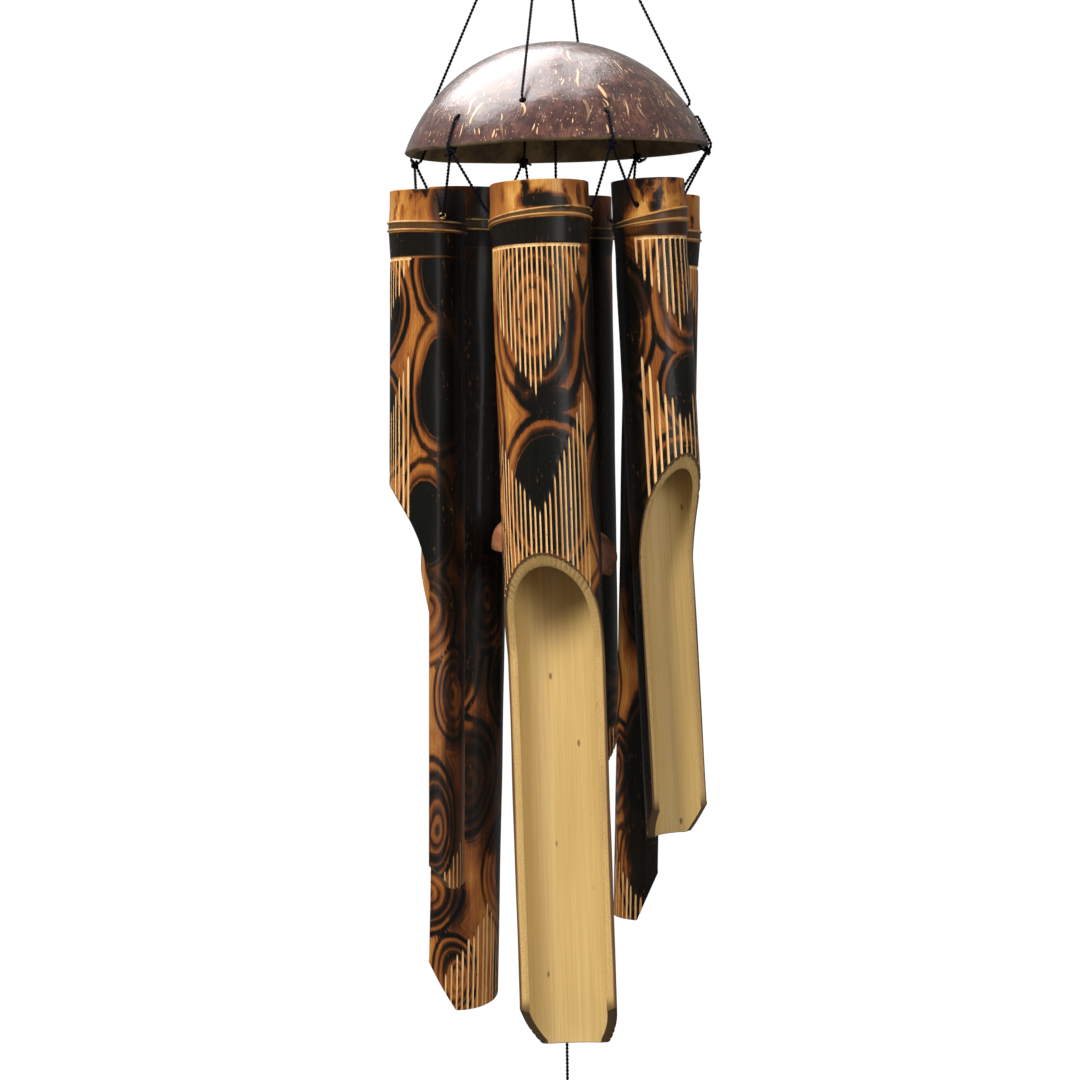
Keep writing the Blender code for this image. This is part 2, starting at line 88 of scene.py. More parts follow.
class Tube(NamedTuple):
    """A tube's shape as in the solids, and then its carving and its burnt marks."""

    top: tuple  # the middle of its upper end
    radius: float
    length: float
    notch: float  # drop of the notch's top
    corner: float  # height of the cut at the tongue's corners
    hang: float  # bearing of its frame's +X, away from the chime's middle
    opening: float  # bearing of the notch's middle
    tilt: float  # degrees that it leans out
    lean: float  # degrees that it leans sideways
    ties: tuple  # the rim ties that it hangs from
    wall: float = 0.0035
    depth: float = 1.07  # how far in the notch cuts, in radii
    rise: float = 0.0  # slant of the foot in degrees, up towards the back
    pitch: float = 0.0023  # of the flutes
    ridges: tuple = ((0.0138, 0.0, 0), (0.0178, 0.0, 0))  # drop, slope, highest bearing
    comb: float = 0.026  # drop of the line over the upper flutes
    upper: tuple = (0.04, 0.07, 0.04)  # drops of the upper flutes' tips: left, middle, right
    lower: tuple = (0.07, 0.095, 0.07)  # drops of the lower flutes' tops
    span: tuple = (68.0, 64.0)  # how far round from the notch's middle the flutes reach
    foot: tuple = (0.014, 0.034)  # how high the foot's flutes reach, at the side and the middle
    band: float = 1.0  # how black the tube is under the node
    eyes: tuple = ()  # burnt rings: bearing, drop, half width, half height, how black the core is
    smoke: tuple = ()  # bearing, drop, half width, half height, strength


TUBES = {
    "front": Tube(
        top=(-0.0069, -0.05, -0.184), radius=0.0198, length=0.3438, wall=0.004,
        notch=0.1485, corner=0.0145,
        hang=-8, opening=-12, tilt=1.9, lean=1.5, ties=("front_left", "front_right"),
        pitch=0.0021, ridges=((0.0132, 0.12, 50), (0.0158, 0.1, 25)), comb=0.0262,
        upper=(0.0455, 0.088, 0.033), lower=(0.09, 0.1305, 0.076), span=(70.0, 62.0),
        eyes=(
            (-6, 0.056, 0.0205, 0.035, 0.15), (0, 0.124, 0.0195, 0.03, 1.0),
            (96, 0.06, 0.016, 0.03), (92, 0.125, 0.016, 0.032),
            (-100, 0.095, 0.014, 0.026), (-97, 0.155, 0.013, 0.024),
        ),
        smoke=(
            (-2, 0.008, 0.0085, 0.0042, 0.95), (22, 0.0095, 0.006, 0.004, 0.9),
            (52, 0.006, 0.002, 0.005, 0.7), (-50, 0.005, 0.0016, 0.004, 0.45),
            (4, 0.088, 0.012, 0.0048, 1.0), (-30, 0.079, 0.0038, 0.0075, 0.85),
            (0, 0.0285, 0.03, 0.0036, 0.6), (88, 0.06, 0.0085, 0.056, 0.92),
            (88, 0.16, 0.008, 0.07, 0.8), (75, 0.008, 0.005, 0.012, 0.7),
        ),
    ),
    "front_right": Tube(
        top=(0.037, -0.025, -0.1816), radius=0.0149, length=0.267,
        notch=0.1115, corner=0.0135, rise=6,
        hang=62, opening=41, tilt=2.7, lean=0.0, ties=("front_right", "right"),
        pitch=0.0029, ridges=((0.0148, 0.21, 90), (0.0178, 0.085, 90)), comb=0.0242,
        upper=(0.03, 0.064, 0.036), lower=(0.064, 0.096, 0.064), span=(78.0, 70.0),
        band=0.88,
        eyes=(
            (-62, 0.057, 0.015, 0.024, 0.6), (60, 0.046, 0.018, 0.027, 0.5),
            (62, 0.0875, 0.015, 0.02, 0.9), (-60, 0.107, 0.012, 0.023, 0.4),
            (-50, 0.155, 0.012, 0.023, 0.6), (-55, 0.205, 0.012, 0.024, 0.5),
        ),
        smoke=(
            (-75, 0.12, 0.0135, 0.19, 0.92), (-60, 0.006, 0.0115, 0.011, 0.9),
            (-22, 0.04, 0.005, 0.02, 0.8), (50, 0.03, 0.012, 0.012, 0.75),
            (40, 0.004, 0.004, 0.005, 0.6),
        ),
    ),
    "back_right": Tube(
        top=(0.0444, 0.027, -0.1843), radius=0.0154, length=0.3,
        notch=0.1345, depth=1.22, corner=0.02, rise=6,
        hang=122, opening=112, tilt=-1.5, lean=0.85, ties=("right", "back_right"),
        foot=(0.007, 0.029), ridges=((0.015, 0.0, 0), (0.0185, 0.0, 0)), comb=0.03,
        eyes=(
            (-60, 0.06, 0.012, 0.025), (-20, 0.09, 0.011, 0.024),
            (-66, 0.125, 0.012, 0.025), (-20, 0.162, 0.011, 0.024),
            (-66, 0.24, 0.012, 0.022), (-15, 0.235, 0.011, 0.026),
        ),
        smoke=((-20, 0.1, 0.025, 0.095, 0.93), (-5, 0.25, 0.014, 0.055, 0.9)),
    ),
    "back": Tube(
        top=(0.0075, 0.057, -0.1825), radius=0.016, length=0.237,
        notch=0.11, corner=0.014,
        hang=172, opening=180, tilt=0.8, lean=0.0, ties=("back_right", "back"),
        eyes=(
            (20, 0.07, 0.012, 0.025), (-30, 0.11, 0.012, 0.025),
            (30, 0.145, 0.012, 0.024), (-20, 0.18, 0.012, 0.024),
        ),
        smoke=((0, 0.11, 0.03, 0.14, 0.94),),
    ),
    "back_left": Tube(
        top=(-0.0354, 0.041, -0.1793), radius=0.0178, length=0.342,
        notch=0.1515, corner=0.0195, rise=20,
        hang=228, opening=227, tilt=1.9, lean=0.65, ties=("back", "left"),
        foot=(0.015, 0.045),
        eyes=(
            (35, 0.045, 0.012, 0.024), (15, 0.085, 0.012, 0.025),
            (40, 0.125, 0.012, 0.024), (36, 0.172, 0.0125, 0.02),
            (80, 0.205, 0.013, 0.018, 0.3), (7, 0.244, 0.0155, 0.0235, 0.4),
            (80, 0.285, 0.013, 0.023, 0.3), (-41, 0.294, 0.015, 0.016, 0.1),
            (-2, 0.328, 0.0095, 0.017, 0.1), (-55, 0.25, 0.012, 0.02, 0.2),
        ),
        smoke=(
            (30, 0.075, 0.03, 0.105, 0.9), (45, 0.225, 0.019, 0.075, 0.66),
            (82, 0.3, 0.008, 0.06, 0.7), (180, 0.15, 0.02, 0.16, 0.7),
            (10, 0.285, 0.024, 0.06, 0.5),
        ),
    ),
    "front_left": Tube(
        top=(-0.0523, -0.016, -0.1843), radius=0.0153, length=0.284,
        notch=0.1195, corner=0.012, rise=14,
        hang=290, opening=270, tilt=1.0, lean=0.5, ties=("left", "front_left"),
        ridges=((0.0133, 0.02, -90), (0.0166, 0.03, -90)), comb=0.028,
        upper=(0.035, 0.06, 0.032), lower=(0.06, 0.098, 0.058), foot=(0.009, 0.03),
        span=(66.0, 68.0),
        eyes=(
            (33, 0.033, 0.015, 0.0215, 0.8), (25, 0.08, 0.013, 0.027, 1.0),
            (0, 0.134, 0.013, 0.023, 0.8), (5, 0.172, 0.012, 0.019, 0.2),
            (50, 0.204, 0.01, 0.0185, 0.4), (10, 0.255, 0.01, 0.024, 0.2),
            (95, 0.056, 0.012, 0.024), (88, 0.13, 0.012, 0.024),
        ),
        smoke=(
            (60, 0.09, 0.015, 0.1, 0.85), (60, 0.225, 0.01, 0.075, 0.68),
            (52, 0.006, 0.014, 0.012, 0.92), (0, 0.155, 0.01, 0.01, 0.6),
            (-40, 0.01, 0.0016, 0.005, 0.5), (-8, 0.01, 0.0016, 0.005, 0.5),
            (5, 0.21, 0.015, 0.08, 0.48),
        ),
    ),
}

# ---------------------------------------------------------------- directions and frames


def outward(bearing):
    """The level direction of a bearing."""
    return Vector((sin(radians(bearing)), -cos(radians(bearing)), 0.0))


def dome_frame():
    """The shell's frame: the middle of its sphere at the origin and the crown up +Z."""
    crown = Matrix.Translation((0.0, 0.0, DOME_CROWN_Z))
    return crown @ Matrix.Rotation(DOME_TILT, 4, "Y") @ Matrix.Translation((0, 0, -DOME_RADIUS))


def on_dome(bearing, polar, depth):
    """A point under the shell's outer surface; a depth below 0 lies outside it."""
    along = outward(bearing) * sin(polar) + Vector((0.0, 0.0, cos(polar)))
    return dome_frame() @ (along * (DOME_RADIUS - depth))


def tube_frame(tube):
    """A tube's frame as in the solids: its top at the origin, its axis down -Z, +X outward."""
    return (
        Matrix.Translation(tube.top)
        @ Matrix.Rotation(radians(tube.hang - 90), 4, "Z")
        @ Matrix.Rotation(radians(-tube.tilt), 4, "Y")
        @ Matrix.Rotation(radians(tube.lean), 4, "X")
    )


# ---------------------------------------------------------------- node materials


class Nodes:
    """A short way to write a node material: its methods take sockets or numbers."""

    def __init__(self, name):
        self.material = bpy.data.materials.new(name)
        self.material.use_nodes = True
        self.tree = self.material.node_tree
        self.surface = self.tree.nodes["Principled BSDF"]

    def put(self, socket, value):
        if isinstance(value, bpy.types.NodeSocket):
            self.tree.links.new(value, socket)
        elif isinstance(value, tuple) and len(value) == 3 and socket.type == "RGBA":
            socket.default_value = (*value, 1.0)
        else:
            socket.default_value = value

    def node(self, kind, settings=None, **inputs):
        made = self.tree.nodes.new(kind)
        for key, value in (settings or {}).items():
            setattr(made, key, value)
        for key, value in inputs.items():
            self.put(made.inputs[key.replace("_", " ")], value)
        return made

    def math(self, operation, *values, clamp=False):
        made = self.tree.nodes.new("ShaderNodeMath")
        made.operation, made.use_clamp = operation, clamp
        for socket, value in zip(made.inputs, values):
            self.put(socket, value)
        return made.outputs[0]

    def plus(self, *values, **settings):
        return self.math("ADD", *values, **settings)

    def less(self, *values):
        return self.math("SUBTRACT", *values)

    def times(self, *values):
        return self.math("MULTIPLY", *values)

    def most(self, *values, **settings):
        return self.math("MAXIMUM", *values, **settings)

    def part(self, noise, amount):
        """A noise turned into a shift about 0."""
        return self.times(self.less(noise, 0.5), amount)

    def number(self, name):
        return self.node("ShaderNodeAttribute", {"attribute_name": name}).outputs["Fac"]

    def place(self):
        """The place in the piece's own frame, as the mesh keeps it."""
        return self.node("ShaderNodeAttribute", {"attribute_name": "local"}).outputs["Vector"]

    def stretched(self, place, scale):
        made = self.tree.nodes.new("ShaderNodeVectorMath")
        made.operation = "MULTIPLY"
        self.put(made.inputs[0], place)
        self.put(made.inputs[1], scale)
        return made.outputs[0]

    def noise(self, place, scale, detail=3.0, roughness=0.55):
        return self.node(
            "ShaderNodeTexNoise", Vector=place, Scale=scale, Detail=detail, Roughness=roughness
        ).outputs["Fac"]

    def grain(self, place, squeeze, scale, detail=3.0):
        """Noise drawn out along Z: the less it is squeezed there, the longer its marks."""
        return self.noise(self.stretched(place, (1.0, 1.0, squeeze)), scale, detail)

    def ramp(self, value, stops, smooth=False):
        made = self.tree.nodes.new("ShaderNodeValToRGB")
        ramp = made.color_ramp
        ramp.interpolation = "EASE" if smooth else "LINEAR"
        while len(ramp.elements) < len(stops):
            ramp.elements.new(0.5)
        for element, (place, colour) in zip(ramp.elements, stops):
            element.position = place
            element.color = (*colour, 1.0) if isinstance(colour, tuple) else (colour,) * 3 + (1.0,)
        self.put(made.inputs[0], value)
        return made.outputs[0]

    def steps(self, value, low, high, first=0.0, last=1.0):
        made = self.node("ShaderNodeMapRange", {"interpolation_type": "SMOOTHSTEP"})
        for socket, item in zip(made.inputs, (value, low, high, first, last)):
            self.put(socket, item)
        return made.outputs[0]

    def mix(self, share, one, two, blend="MIX"):
        made = self.tree.nodes.new("ShaderNodeMix")
        made.data_type, made.blend_type = "RGBA", blend
        self.put(made.inputs[0], share)
        self.put(made.inputs[6], one)
        self.put(made.inputs[7], two)
        return made.outputs[2]

    def bump(self, height, distance, strength):
        made = self.node("ShaderNodeBump", Height=height, Distance=distance, Strength=strength)
        return made.outputs[0]

    def finish(self, **inputs):
        for key, value in inputs.items():
            self.put(self.surface.inputs[key.replace("_", " ")], value)
        return self.material


AMBER, HONEY, RUST = (0.44, 0.19, 0.036), (0.63, 0.35, 0.105), (0.2, 0.058, 0.013)
UMBER, SOOT, CHARCOAL = (0.042, 0.015, 0.006), (0.011, 0.0075, 0.0048), (0.004, 0.0044, 0.0034)
PALE_WOOD, CREAM = (0.66, 0.37, 0.13), (0.78, 0.53, 0.26)


def burnt_skin():
    """Varnished skin: amber, with burnt rings, smoke, and the bare wood of the carved flutes."""
    n = Nodes("burnt_bamboo_skin")
    place = n.place()
    fibres = n.grain(place, 0.018, 1900.0, 2.0)
    streaks = n.grain(place, 0.05, 520.0)
    blotches = n.grain(place, 0.45, 75.0)
    wisps = n.grain(place, 0.5, 44.0, 2.0)
    crumbs = n.grain(place, 0.4, 900.0)

    ring = n.plus(n.number("ring"), n.part(blotches, 0.2))
    ring = n.plus(n.plus(ring, n.part(streaks, 0.05)), n.part(crumbs, 0.03))
    rings = n.ramp(
        n.times(ring, 0.5),
        [
            (0.000, 0.95), (0.045, 0.7), (0.085, 0.38), (0.115, 0.46), (0.145, 0.82),
            (0.18, 0.62), (0.215, 0.42), (0.245, 0.74), (0.29, 0.93), (0.325, 0.62),
            (0.35, 0.42), (0.372, 0.56), (0.395, 0.8), (0.425, 0.54), (0.455, 0.31),
            (0.474, 0.38), (0.492, 0.78), (0.522, 0.92), (0.548, 0.46), (0.568, 0.2),
            (0.584, 0.34), (0.6, 0.15), (0.622, 0.22), (0.66, 0.04), (0.69, 0.14),
            (0.72, 0.0),
        ],
        smooth=True,
    )
    faint = n.times(n.less(1.0, n.number("core")), n.steps(ring, 0.75, 0.45))
    rings = n.times(rings, n.less(1.0, n.times(faint, 0.3)))
    charred = n.times(n.number("core"), n.steps(ring, 0.86, 0.66))
    charred = n.plus(charred, n.plus(n.part(blotches, 0.5), n.part(crumbs, 0.35)))
    charred = n.steps(charred, 0.34, 0.66, 0.0, 0.98)
    swell = n.steps(wisps, 0.3, 0.62, 0.62, 1.22)
    rings = n.most(n.times(rings, swell), charred)
    patches = n.grain(place, 0.6, 120.0, 4.0)
    scorch = n.times(n.steps(patches, 0.46, 0.68), n.number("scorch"))
    smoke = n.plus(n.number("smoke"), n.part(blotches, 0.9))
    smoke = n.steps(n.plus(smoke, n.part(wisps, 0.5)), 0.28, 0.72)
    smoke = n.times(smoke, n.steps(n.number("smoke"), 0.04, 0.2))
    under = n.steps(n.number("smoke"), 0.8, 0.98, 0.52, 0.9)
    shade = n.times(rings, n.less(1.0, under))
    shade = n.times(smoke, n.plus(under, shade))
    burnt = n.most(n.most(rings, scorch), shade, clamp=True)
    warmth = n.times(n.steps(wisps, 0.42, 0.66, 0.0, 0.3), n.steps(burnt, 0.5, 0.0))
    burnt = n.plus(burnt, warmth, clamp=True)
    skin = n.ramp(
        burnt,
        [
            (0.0, HONEY), (0.1, AMBER), (0.26, (0.33, 0.115, 0.024)), (0.44, RUST),
            (0.62, UMBER), (0.8, SOOT), (1.0, CHARCOAL),
        ],
    )
    skin = n.mix(n.steps(fibres, 0.35, 0.7, 0.0, 0.3), skin, (0.05, 0.018, 0.006), "MULTIPLY")
    glints = n.times(n.steps(crumbs, 0.6, 0.7), n.steps(burnt, 0.55, 0.75))
    glints = n.times(glints, n.steps(patches, 0.5, 0.62, 0.0, 0.3))
    skin = n.mix(glints, skin, (0.34, 0.14, 0.035))

    bare = n.mix(n.steps(fibres, 0.3, 0.75), CREAM, PALE_WOOD)
    bare = n.mix(n.steps(streaks, 0.42, 0.72, 0.0, 0.7), bare, (0.42, 0.18, 0.05))
    bare = n.mix(n.steps(crumbs, 0.64, 0.72, 0.0, 0.75), bare, UMBER)
    ragged = n.plus(n.number("carve"), n.part(crumbs, 0.3))
    cut = n.steps(ragged, 0.18, 0.38)
    seam = n.times(n.steps(ragged, 0.02, 0.14), n.steps(ragged, 0.34, 0.18))
    skin = n.mix(n.times(seam, 0.55), skin, UMBER)
    colour = n.mix(cut, skin, bare)
    crest = n.times(n.number("crest"), n.steps(patches, 0.38, 0.52, 0.25, 1.0))
    colour = n.mix(n.times(crest, 0.9), colour, (0.5, 0.31, 0.13))
    colour = n.mix(n.times(n.number("groove"), 0.85), colour, (0.03, 0.018, 0.01))

    height = n.plus(n.times(fibres, 0.5), n.times(crumbs, 0.5))
    rough = n.mix(cut, n.ramp(burnt, [(0.0, 0.36), (1.0, 0.46)]), (0.66, 0.66, 0.66))
    return n.finish(
        Base_Color=colour,
        Roughness=rough,
        Specular_IOR_Level=0.12,
        Normal=n.bump(height, 0.0001, 0.55),
        Coat_Weight=n.less(0.09, n.times(cut, 0.08)),
        Coat_Roughness=0.18,
    )


def bare_bamboo(name, light, dark, rim, cut=False):
    """Bare bamboo: fine upright fibres, broad faint shades and a few dark specks.

    A cut face has pores, a scorched line along its outer edge and a darker foot.
    """
    n = Nodes(name)
    place = n.place()
    fibres = n.grain(place, 0.012, 1500.0)
    broad = n.grain(place, 0.1, 110.0)
    stains = n.grain(place, 0.3, 45.0)
    colour = n.mix(n.steps(fibres, 0.28, 0.76, 0.0, 0.8), light, dark)
    colour = n.mix(n.steps(broad, 0.4, 0.75, 0.0, 0.5), colour, dark)
    colour = n.mix(n.steps(stains, 0.52, 0.78, 0.0, 0.35), colour, rim)
    drawn = n.stretched(place, (1.0, 1.0, 0.45))
    specks = n.node("ShaderNodeTexVoronoi", Vector=drawn, Scale=150.0)
    pick = n.node("ShaderNodeSeparateColor", Color=specks.outputs["Color"]).outputs[0]
    few = n.math("GREATER_THAN", pick, 0.45)
    dots = n.times(n.steps(specks.outputs["Distance"], 0.13, 0.06), few)
    colour = n.mix(n.times(dots, 0.75), colour, (0.1, 0.05, 0.02))
    if cut:
        pores = n.noise(place, 1700.0, 2.0)
        colour = n.mix(n.steps(pores, 0.52, 0.66, 0.0, 0.55), colour, rim)
        scorched = n.steps(n.plus(n.number("inward"), n.part(broad, 0.45)), 0.36, 0.16)
        colour = n.mix(n.times(scorched, 0.92), colour, (0.07, 0.028, 0.011))
        colour = n.mix(n.times(n.number("end"), 0.94), colour, (0.078, 0.042, 0.016))
    return n.finish(
        Base_Color=colour,
        Roughness=0.55,
        Specular_IOR_Level=0.3,
        Normal=n.bump(fibres, 0.00008, 0.45),
    )


def shell_outside():
    """Polished coconut shell: dark, with tan flecks of fibre that run down from the crown."""
    n = Nodes("coconut_shell_polished")
    place = n.place()
    x, y, z = n.node("ShaderNodeSeparateXYZ", Vector=place).outputs
    bearing = n.math("ARCTAN2", x, n.times(y, -1.0))
    level = n.math("SQRT", n.plus(n.times(x, x), n.times(y, y)))
    polar = n.math("ARCTAN2", level, z)

    def grid(across, down, shift):
        bend = n.part(n.noise(place, 70.0 + shift, 1.0), 0.22)
        spread = n.times(n.plus(bearing, bend), across)
        fall = n.times(polar, down)
        return n.node("ShaderNodeCombineXYZ", X=spread, Y=fall, Z=shift).outputs[0]

    def flecks(across, down, shift, rare, size):
        cells = n.node("ShaderNodeTexVoronoi", Vector=grid(across, down, shift), Scale=1.0)
        r, g, b = n.node("ShaderNodeSeparateColor", Color=cells.outputs["Color"]).outputs
        chosen = n.math("GREATER_THAN", r, rare)
        reach = n.times(n.plus(n.times(g, 0.8), 0.35), size)
        inside = n.steps(n.math("DIVIDE", cells.outputs["Distance"], reach), 1.0, 0.65)
        return n.times(n.times(chosen, inside), n.steps(b, -0.3, 1.0))

    crowd = n.noise(place, 38.0, 2.0)
    side = n.steps(x, -0.03, 0.05, 0.0, 0.2)
    rare = n.less(n.steps(crowd, 0.3, 0.65, 0.93, 0.66), side)
    large = flecks(26.0, 3.8, 0.0, n.less(rare, 0.06), 0.36)
    small = flecks(52.0, 11.0, 5.0, n.less(rare, 0.1), 0.36)
    dust = flecks(90.0, 44.0, 9.0, n.less(rare, 0.06), 0.34)
    marks = n.most(n.most(large, small), n.times(dust, 0.7))
    lines = n.noise(grid(110.0, 8.0, 3.0), 1.0, 5.0, 0.65)
    scratches = n.noise(grid(420.0, 24.0, 7.0), 1.0, 2.0)
    mottle = n.noise(place, 150.0, 5.0, 0.62)
    colour = n.ramp(
        n.plus(n.times(mottle, 0.6), n.times(lines, 0.4)),
        [(0.34, (0.016, 0.006, 0.005)), (0.5, (0.072, 0.026, 0.02)), (0.66, (0.19, 0.078, 0.055))],
    )
    colour = n.mix(n.steps(scratches, 0.5, 0.66, 0.0, 0.75), colour, (0.012, 0.005, 0.004))
    tan = n.mix(n.noise(place, 900.0, 2.0), (0.66, 0.36, 0.16), (0.8, 0.52, 0.28))
    colour = n.mix(n.times(marks, 0.92), colour, tan)
    waves = n.noise(place, 150.0, 2.0)
    height = n.plus(n.times(lines, 0.45), n.times(marks, 0.25))
    height = n.less(height, n.times(scratches, 0.2))
    normal = n.bump(n.plus(height, n.times(waves, 0.9)), 0.00025, 0.6)
    return n.finish(
        Base_Color=colour,
        Roughness=n.ramp(lines, [(0.3, 0.3), (0.7, 0.52)]),
        Specular_IOR_Level=0.3,
        Normal=normal,
        Coat_Weight=0.9,
        Coat_Roughness=0.07,
        Coat_IOR=1.7,
        Coat_Normal=normal,
    )


def shell_inside():
    n = Nodes("coconut_shell_inside")
    place = n.place()
    mottle = n.noise(place, 95.0, 5.0)
    veins = n.grain(place, 0.2, 420.0)
    colour = n.mix(n.steps(mottle, 0.3, 0.72), (0.075, 0.05, 0.026), (0.235, 0.17, 0.085))
    colour = n.mix(n.steps(veins, 0.5, 0.75, 0.0, 0.5), colour, (0.03, 0.018, 0.01))
    height = n.plus(mottle, n.times(veins, 0.4))
    return n.finish(Base_Color=colour, Roughness=0.62, Normal=n.bump(height, 0.0003, 0.6))


def waxed_cord():
    n = Nodes("waxed_cord_black")
    place = n.place()
    hairs = n.noise(place, 5200.0, 2.0)
    wax = n.noise(place, 700.0, 2.0)
    colour = n.mix(n.steps(hairs, 0.4, 0.75), (0.0012, 0.0012, 0.0045), (0.007, 0.0065, 0.016))
    return n.finish(
        Base_Color=colour,
        Roughness=n.ramp(wax, [(0.35, 0.42), (0.7, 0.62)]),
        Specular_IOR_Level=0.14,
        Normal=n.bump(hairs, 0.00006, 0.8),
    )


def turned_wood(name, light, dark, scale):
    """Bare wood with rings of grain, fine pores and small nicks."""
    n = Nodes(name)
    place = n.place()
    warp = n.noise(place, 60.0, 3.0)
    rings = n.noise(n.stretched(place, (1.0, 0.12, 1.0)), scale, 4.0, 0.62)
    pores = n.noise(n.stretched(place, (1.0, 0.05, 1.0)), 1500.0, 2.0)
    grain = n.plus(n.times(rings, 0.7), n.times(warp, 0.3))
    colour = n.mix(n.steps(grain, 0.34, 0.66), light, dark)
    colour = n.mix(n.steps(pores, 0.55, 0.72, 0.0, 0.7), colour, (0.1, 0.03, 0.014))
    nicks = n.noise(place, 420.0, 4.0)
    colour = n.mix(n.steps(nicks, 0.6, 0.7, 0.0, 0.5), colour, (0.62, 0.33, 0.18))
    height = n.plus(n.times(pores, 0.5), n.times(nicks, 0.8))
    return n.finish(Base_Color=colour, Roughness=0.5, Normal=n.bump(height, 0.0002, 0.6))


def ring_steel():
    n = Nodes("ring_steel")
    place = n.place()
    scratches = n.noise(n.stretched(place, (1.0, 9.0, 1.0)), 700.0, 3.0)
    return n.finish(
        Base_Color=(0.6, 0.6, 0.6),
        Metallic=1.0,
        Roughness=n.ramp(scratches, [(0.35, 0.18), (0.75, 0.38)]),
        Normal=n.bump(scratches, 0.00002, 0.5),
    )


SKIN = burnt_skin()
BORE = bare_bamboo("bamboo_inside", (0.59, 0.415, 0.168), (0.47, 0.305, 0.105), (0.36, 0.22, 0.07))
CUT = bare_bamboo(
    "bamboo_cut", (0.54, 0.36, 0.135), (0.4, 0.24, 0.08), (0.24, 0.125, 0.042), True
)
SHELL, SHELL_INSIDE = shell_outside(), shell_inside()
CORD = waxed_cord()
CLAPPER_WOOD = turned_wood(
    "clapper_wood_bare", (0.5, 0.185, 0.066), (0.25, 0.08, 0.028), 260.0
)
CATCHER_WOOD = turned_wood(
    "catcher_wood_bare", (0.4, 0.185, 0.085), (0.22, 0.085, 0.04), 240.0
)
STEEL = ring_steel()

# ---------------------------------------------------------------- mesh tools


def piece(name, mesh, materials, body, node):
    """A finished piece: it rides on a body and stands for one CAD node."""
    thing = bpy.data.objects.new(name, mesh)
    bpy.context.scene.collection.objects.link(thing)
    for surface in materials:
        mesh.materials.append(surface)
    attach(thing, body)
    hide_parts(node)
    return thing


def mesh_of(name, points, faces, indices=None):
    """A mesh with its faces turned outward, and a material index for each face if given."""
    mesh = bpy.data.meshes.new(name)
    mesh.from_pydata([tuple(p) for p in points], [], faces)
    if indices is not None:
        mesh.polygons.foreach_set("material_index", indices)
    work = bmesh.new()
    work.from_mesh(mesh)
    bmesh.ops.recalc_face_normals(work, faces=work.faces[:])
    work.to_mesh(mesh)
    work.free()
    return mesh


def places_of(mesh):
    flat = np.zeros(len(mesh.vertices) * 3, np.float32)
    mesh.vertices.foreach_get("co", flat)
    return flat.reshape(-1, 3).astype(float)


def put_vector(mesh, name, values):
    layer = mesh.attributes.new(name, "FLOAT_VECTOR", "POINT")
    layer.data.foreach_set("vector", np.asarray(values, np.float32).ravel())


def put_number(mesh, name, values):
    layer = mesh.attributes.new(name, "FLOAT", "POINT")
    layer.data.foreach_set("value", np.asarray(values, np.float32).ravel())


def keep_places(mesh):
    """Gives the materials each point's place in the piece's own frame."""
    put_vector(mesh, "local", places_of(mesh))


def smooth(mesh, angle):
    mesh.shade_smooth()
    mesh.set_sharp_from_angle(angle=radians(angle))


def placed(name, mesh, frame_of_piece, angle, materials, body, node):
    """Moves a mesh from the piece's own frame to its place and makes it a piece."""
    mesh.transform(frame_of_piece)
    mesh.update()
    smooth(mesh, angle)
    mesh.name = name
    piece(name, mesh, materials, body, node)


def band(one, two, flip=False):
    """The faces between two closed rows of points."""
    faces = []
    for k in range(len(one)):
        on = (k + 1) % len(one)
        faces.append((one[k], two[k], two[on], one[on]) if flip else (one[k], one[on], two[on], two[k]))
    return faces


def bored(name, mesh, drills, surface_index):
    """The mesh with cord holes through it: each drill is a middle, a direction, a length."""
    work = bmesh.new()
    for middle, along, length in drills:
        turn = along.to_track_quat("Z", "Y").to_matrix().to_4x4()
        bmesh.ops.create_cone(
            work, cap_ends=True, segments=20, radius1=CORD_HOLE_RADIUS, radius2=CORD_HOLE_RADIUS,
            depth=length, matrix=Matrix.Translation(middle) @ turn,
        )
    for face in work.faces:
        face.material_index = surface_index
    tool_mesh = bpy.data.meshes.new(name + "_drill")
    work.to_mesh(tool_mesh)
    work.free()
    holder = bpy.data.objects.new(name + "_whole", mesh)
    tool = bpy.data.objects.new(name + "_drill", tool_mesh)
    for thing in (holder, tool):
        bpy.context.scene.collection.objects.link(thing)
        for surface in (SKIN, BORE, CUT):
            thing.data.materials.append(surface)
    cut = holder.modifiers.new("holes", "BOOLEAN")
    cut.operation, cut.solver, cut.object = "DIFFERENCE", "EXACT", tool
    cut.material_mode = "INDEX"
    depsgraph = bpy.context.evaluated_depsgraph_get()
    made = bpy.data.meshes.new_from_object(holder.evaluated_get(depsgraph))
    for thing in (holder, tool):
        bpy.data.objects.remove(thing)
    kinds = np.zeros(len(made.polygons), np.int32)
    made.polygons.foreach_get("material_index", kinds)
    made.materials.clear()
    made.polygons.foreach_set("material_index", kinds)
    return made


# ---------------------------------------------------------------- cords and knots

PLY_PITCH, CORD_SIDES, CORD_STEP, KNOT_STEP = 0.003, 12, 0.00042, 0.0005
UP, DOWN = Vector((0.0, 0.0, 1.0)), Vector((0.0, 0.0, -1.0))
# how far a cord's middle line stands off the shell at the rim, off a tube, and off the shell's top
RIM_CORD_LIFT, TUBE_CORD_LIFT, SUSPENSION_LIFT = 0.0009, 0.0013, 0.0016
TAIL_REACH, TAIL_RADIUS = 0.0031, 0.0005  # of the cut ends beside a rim knot


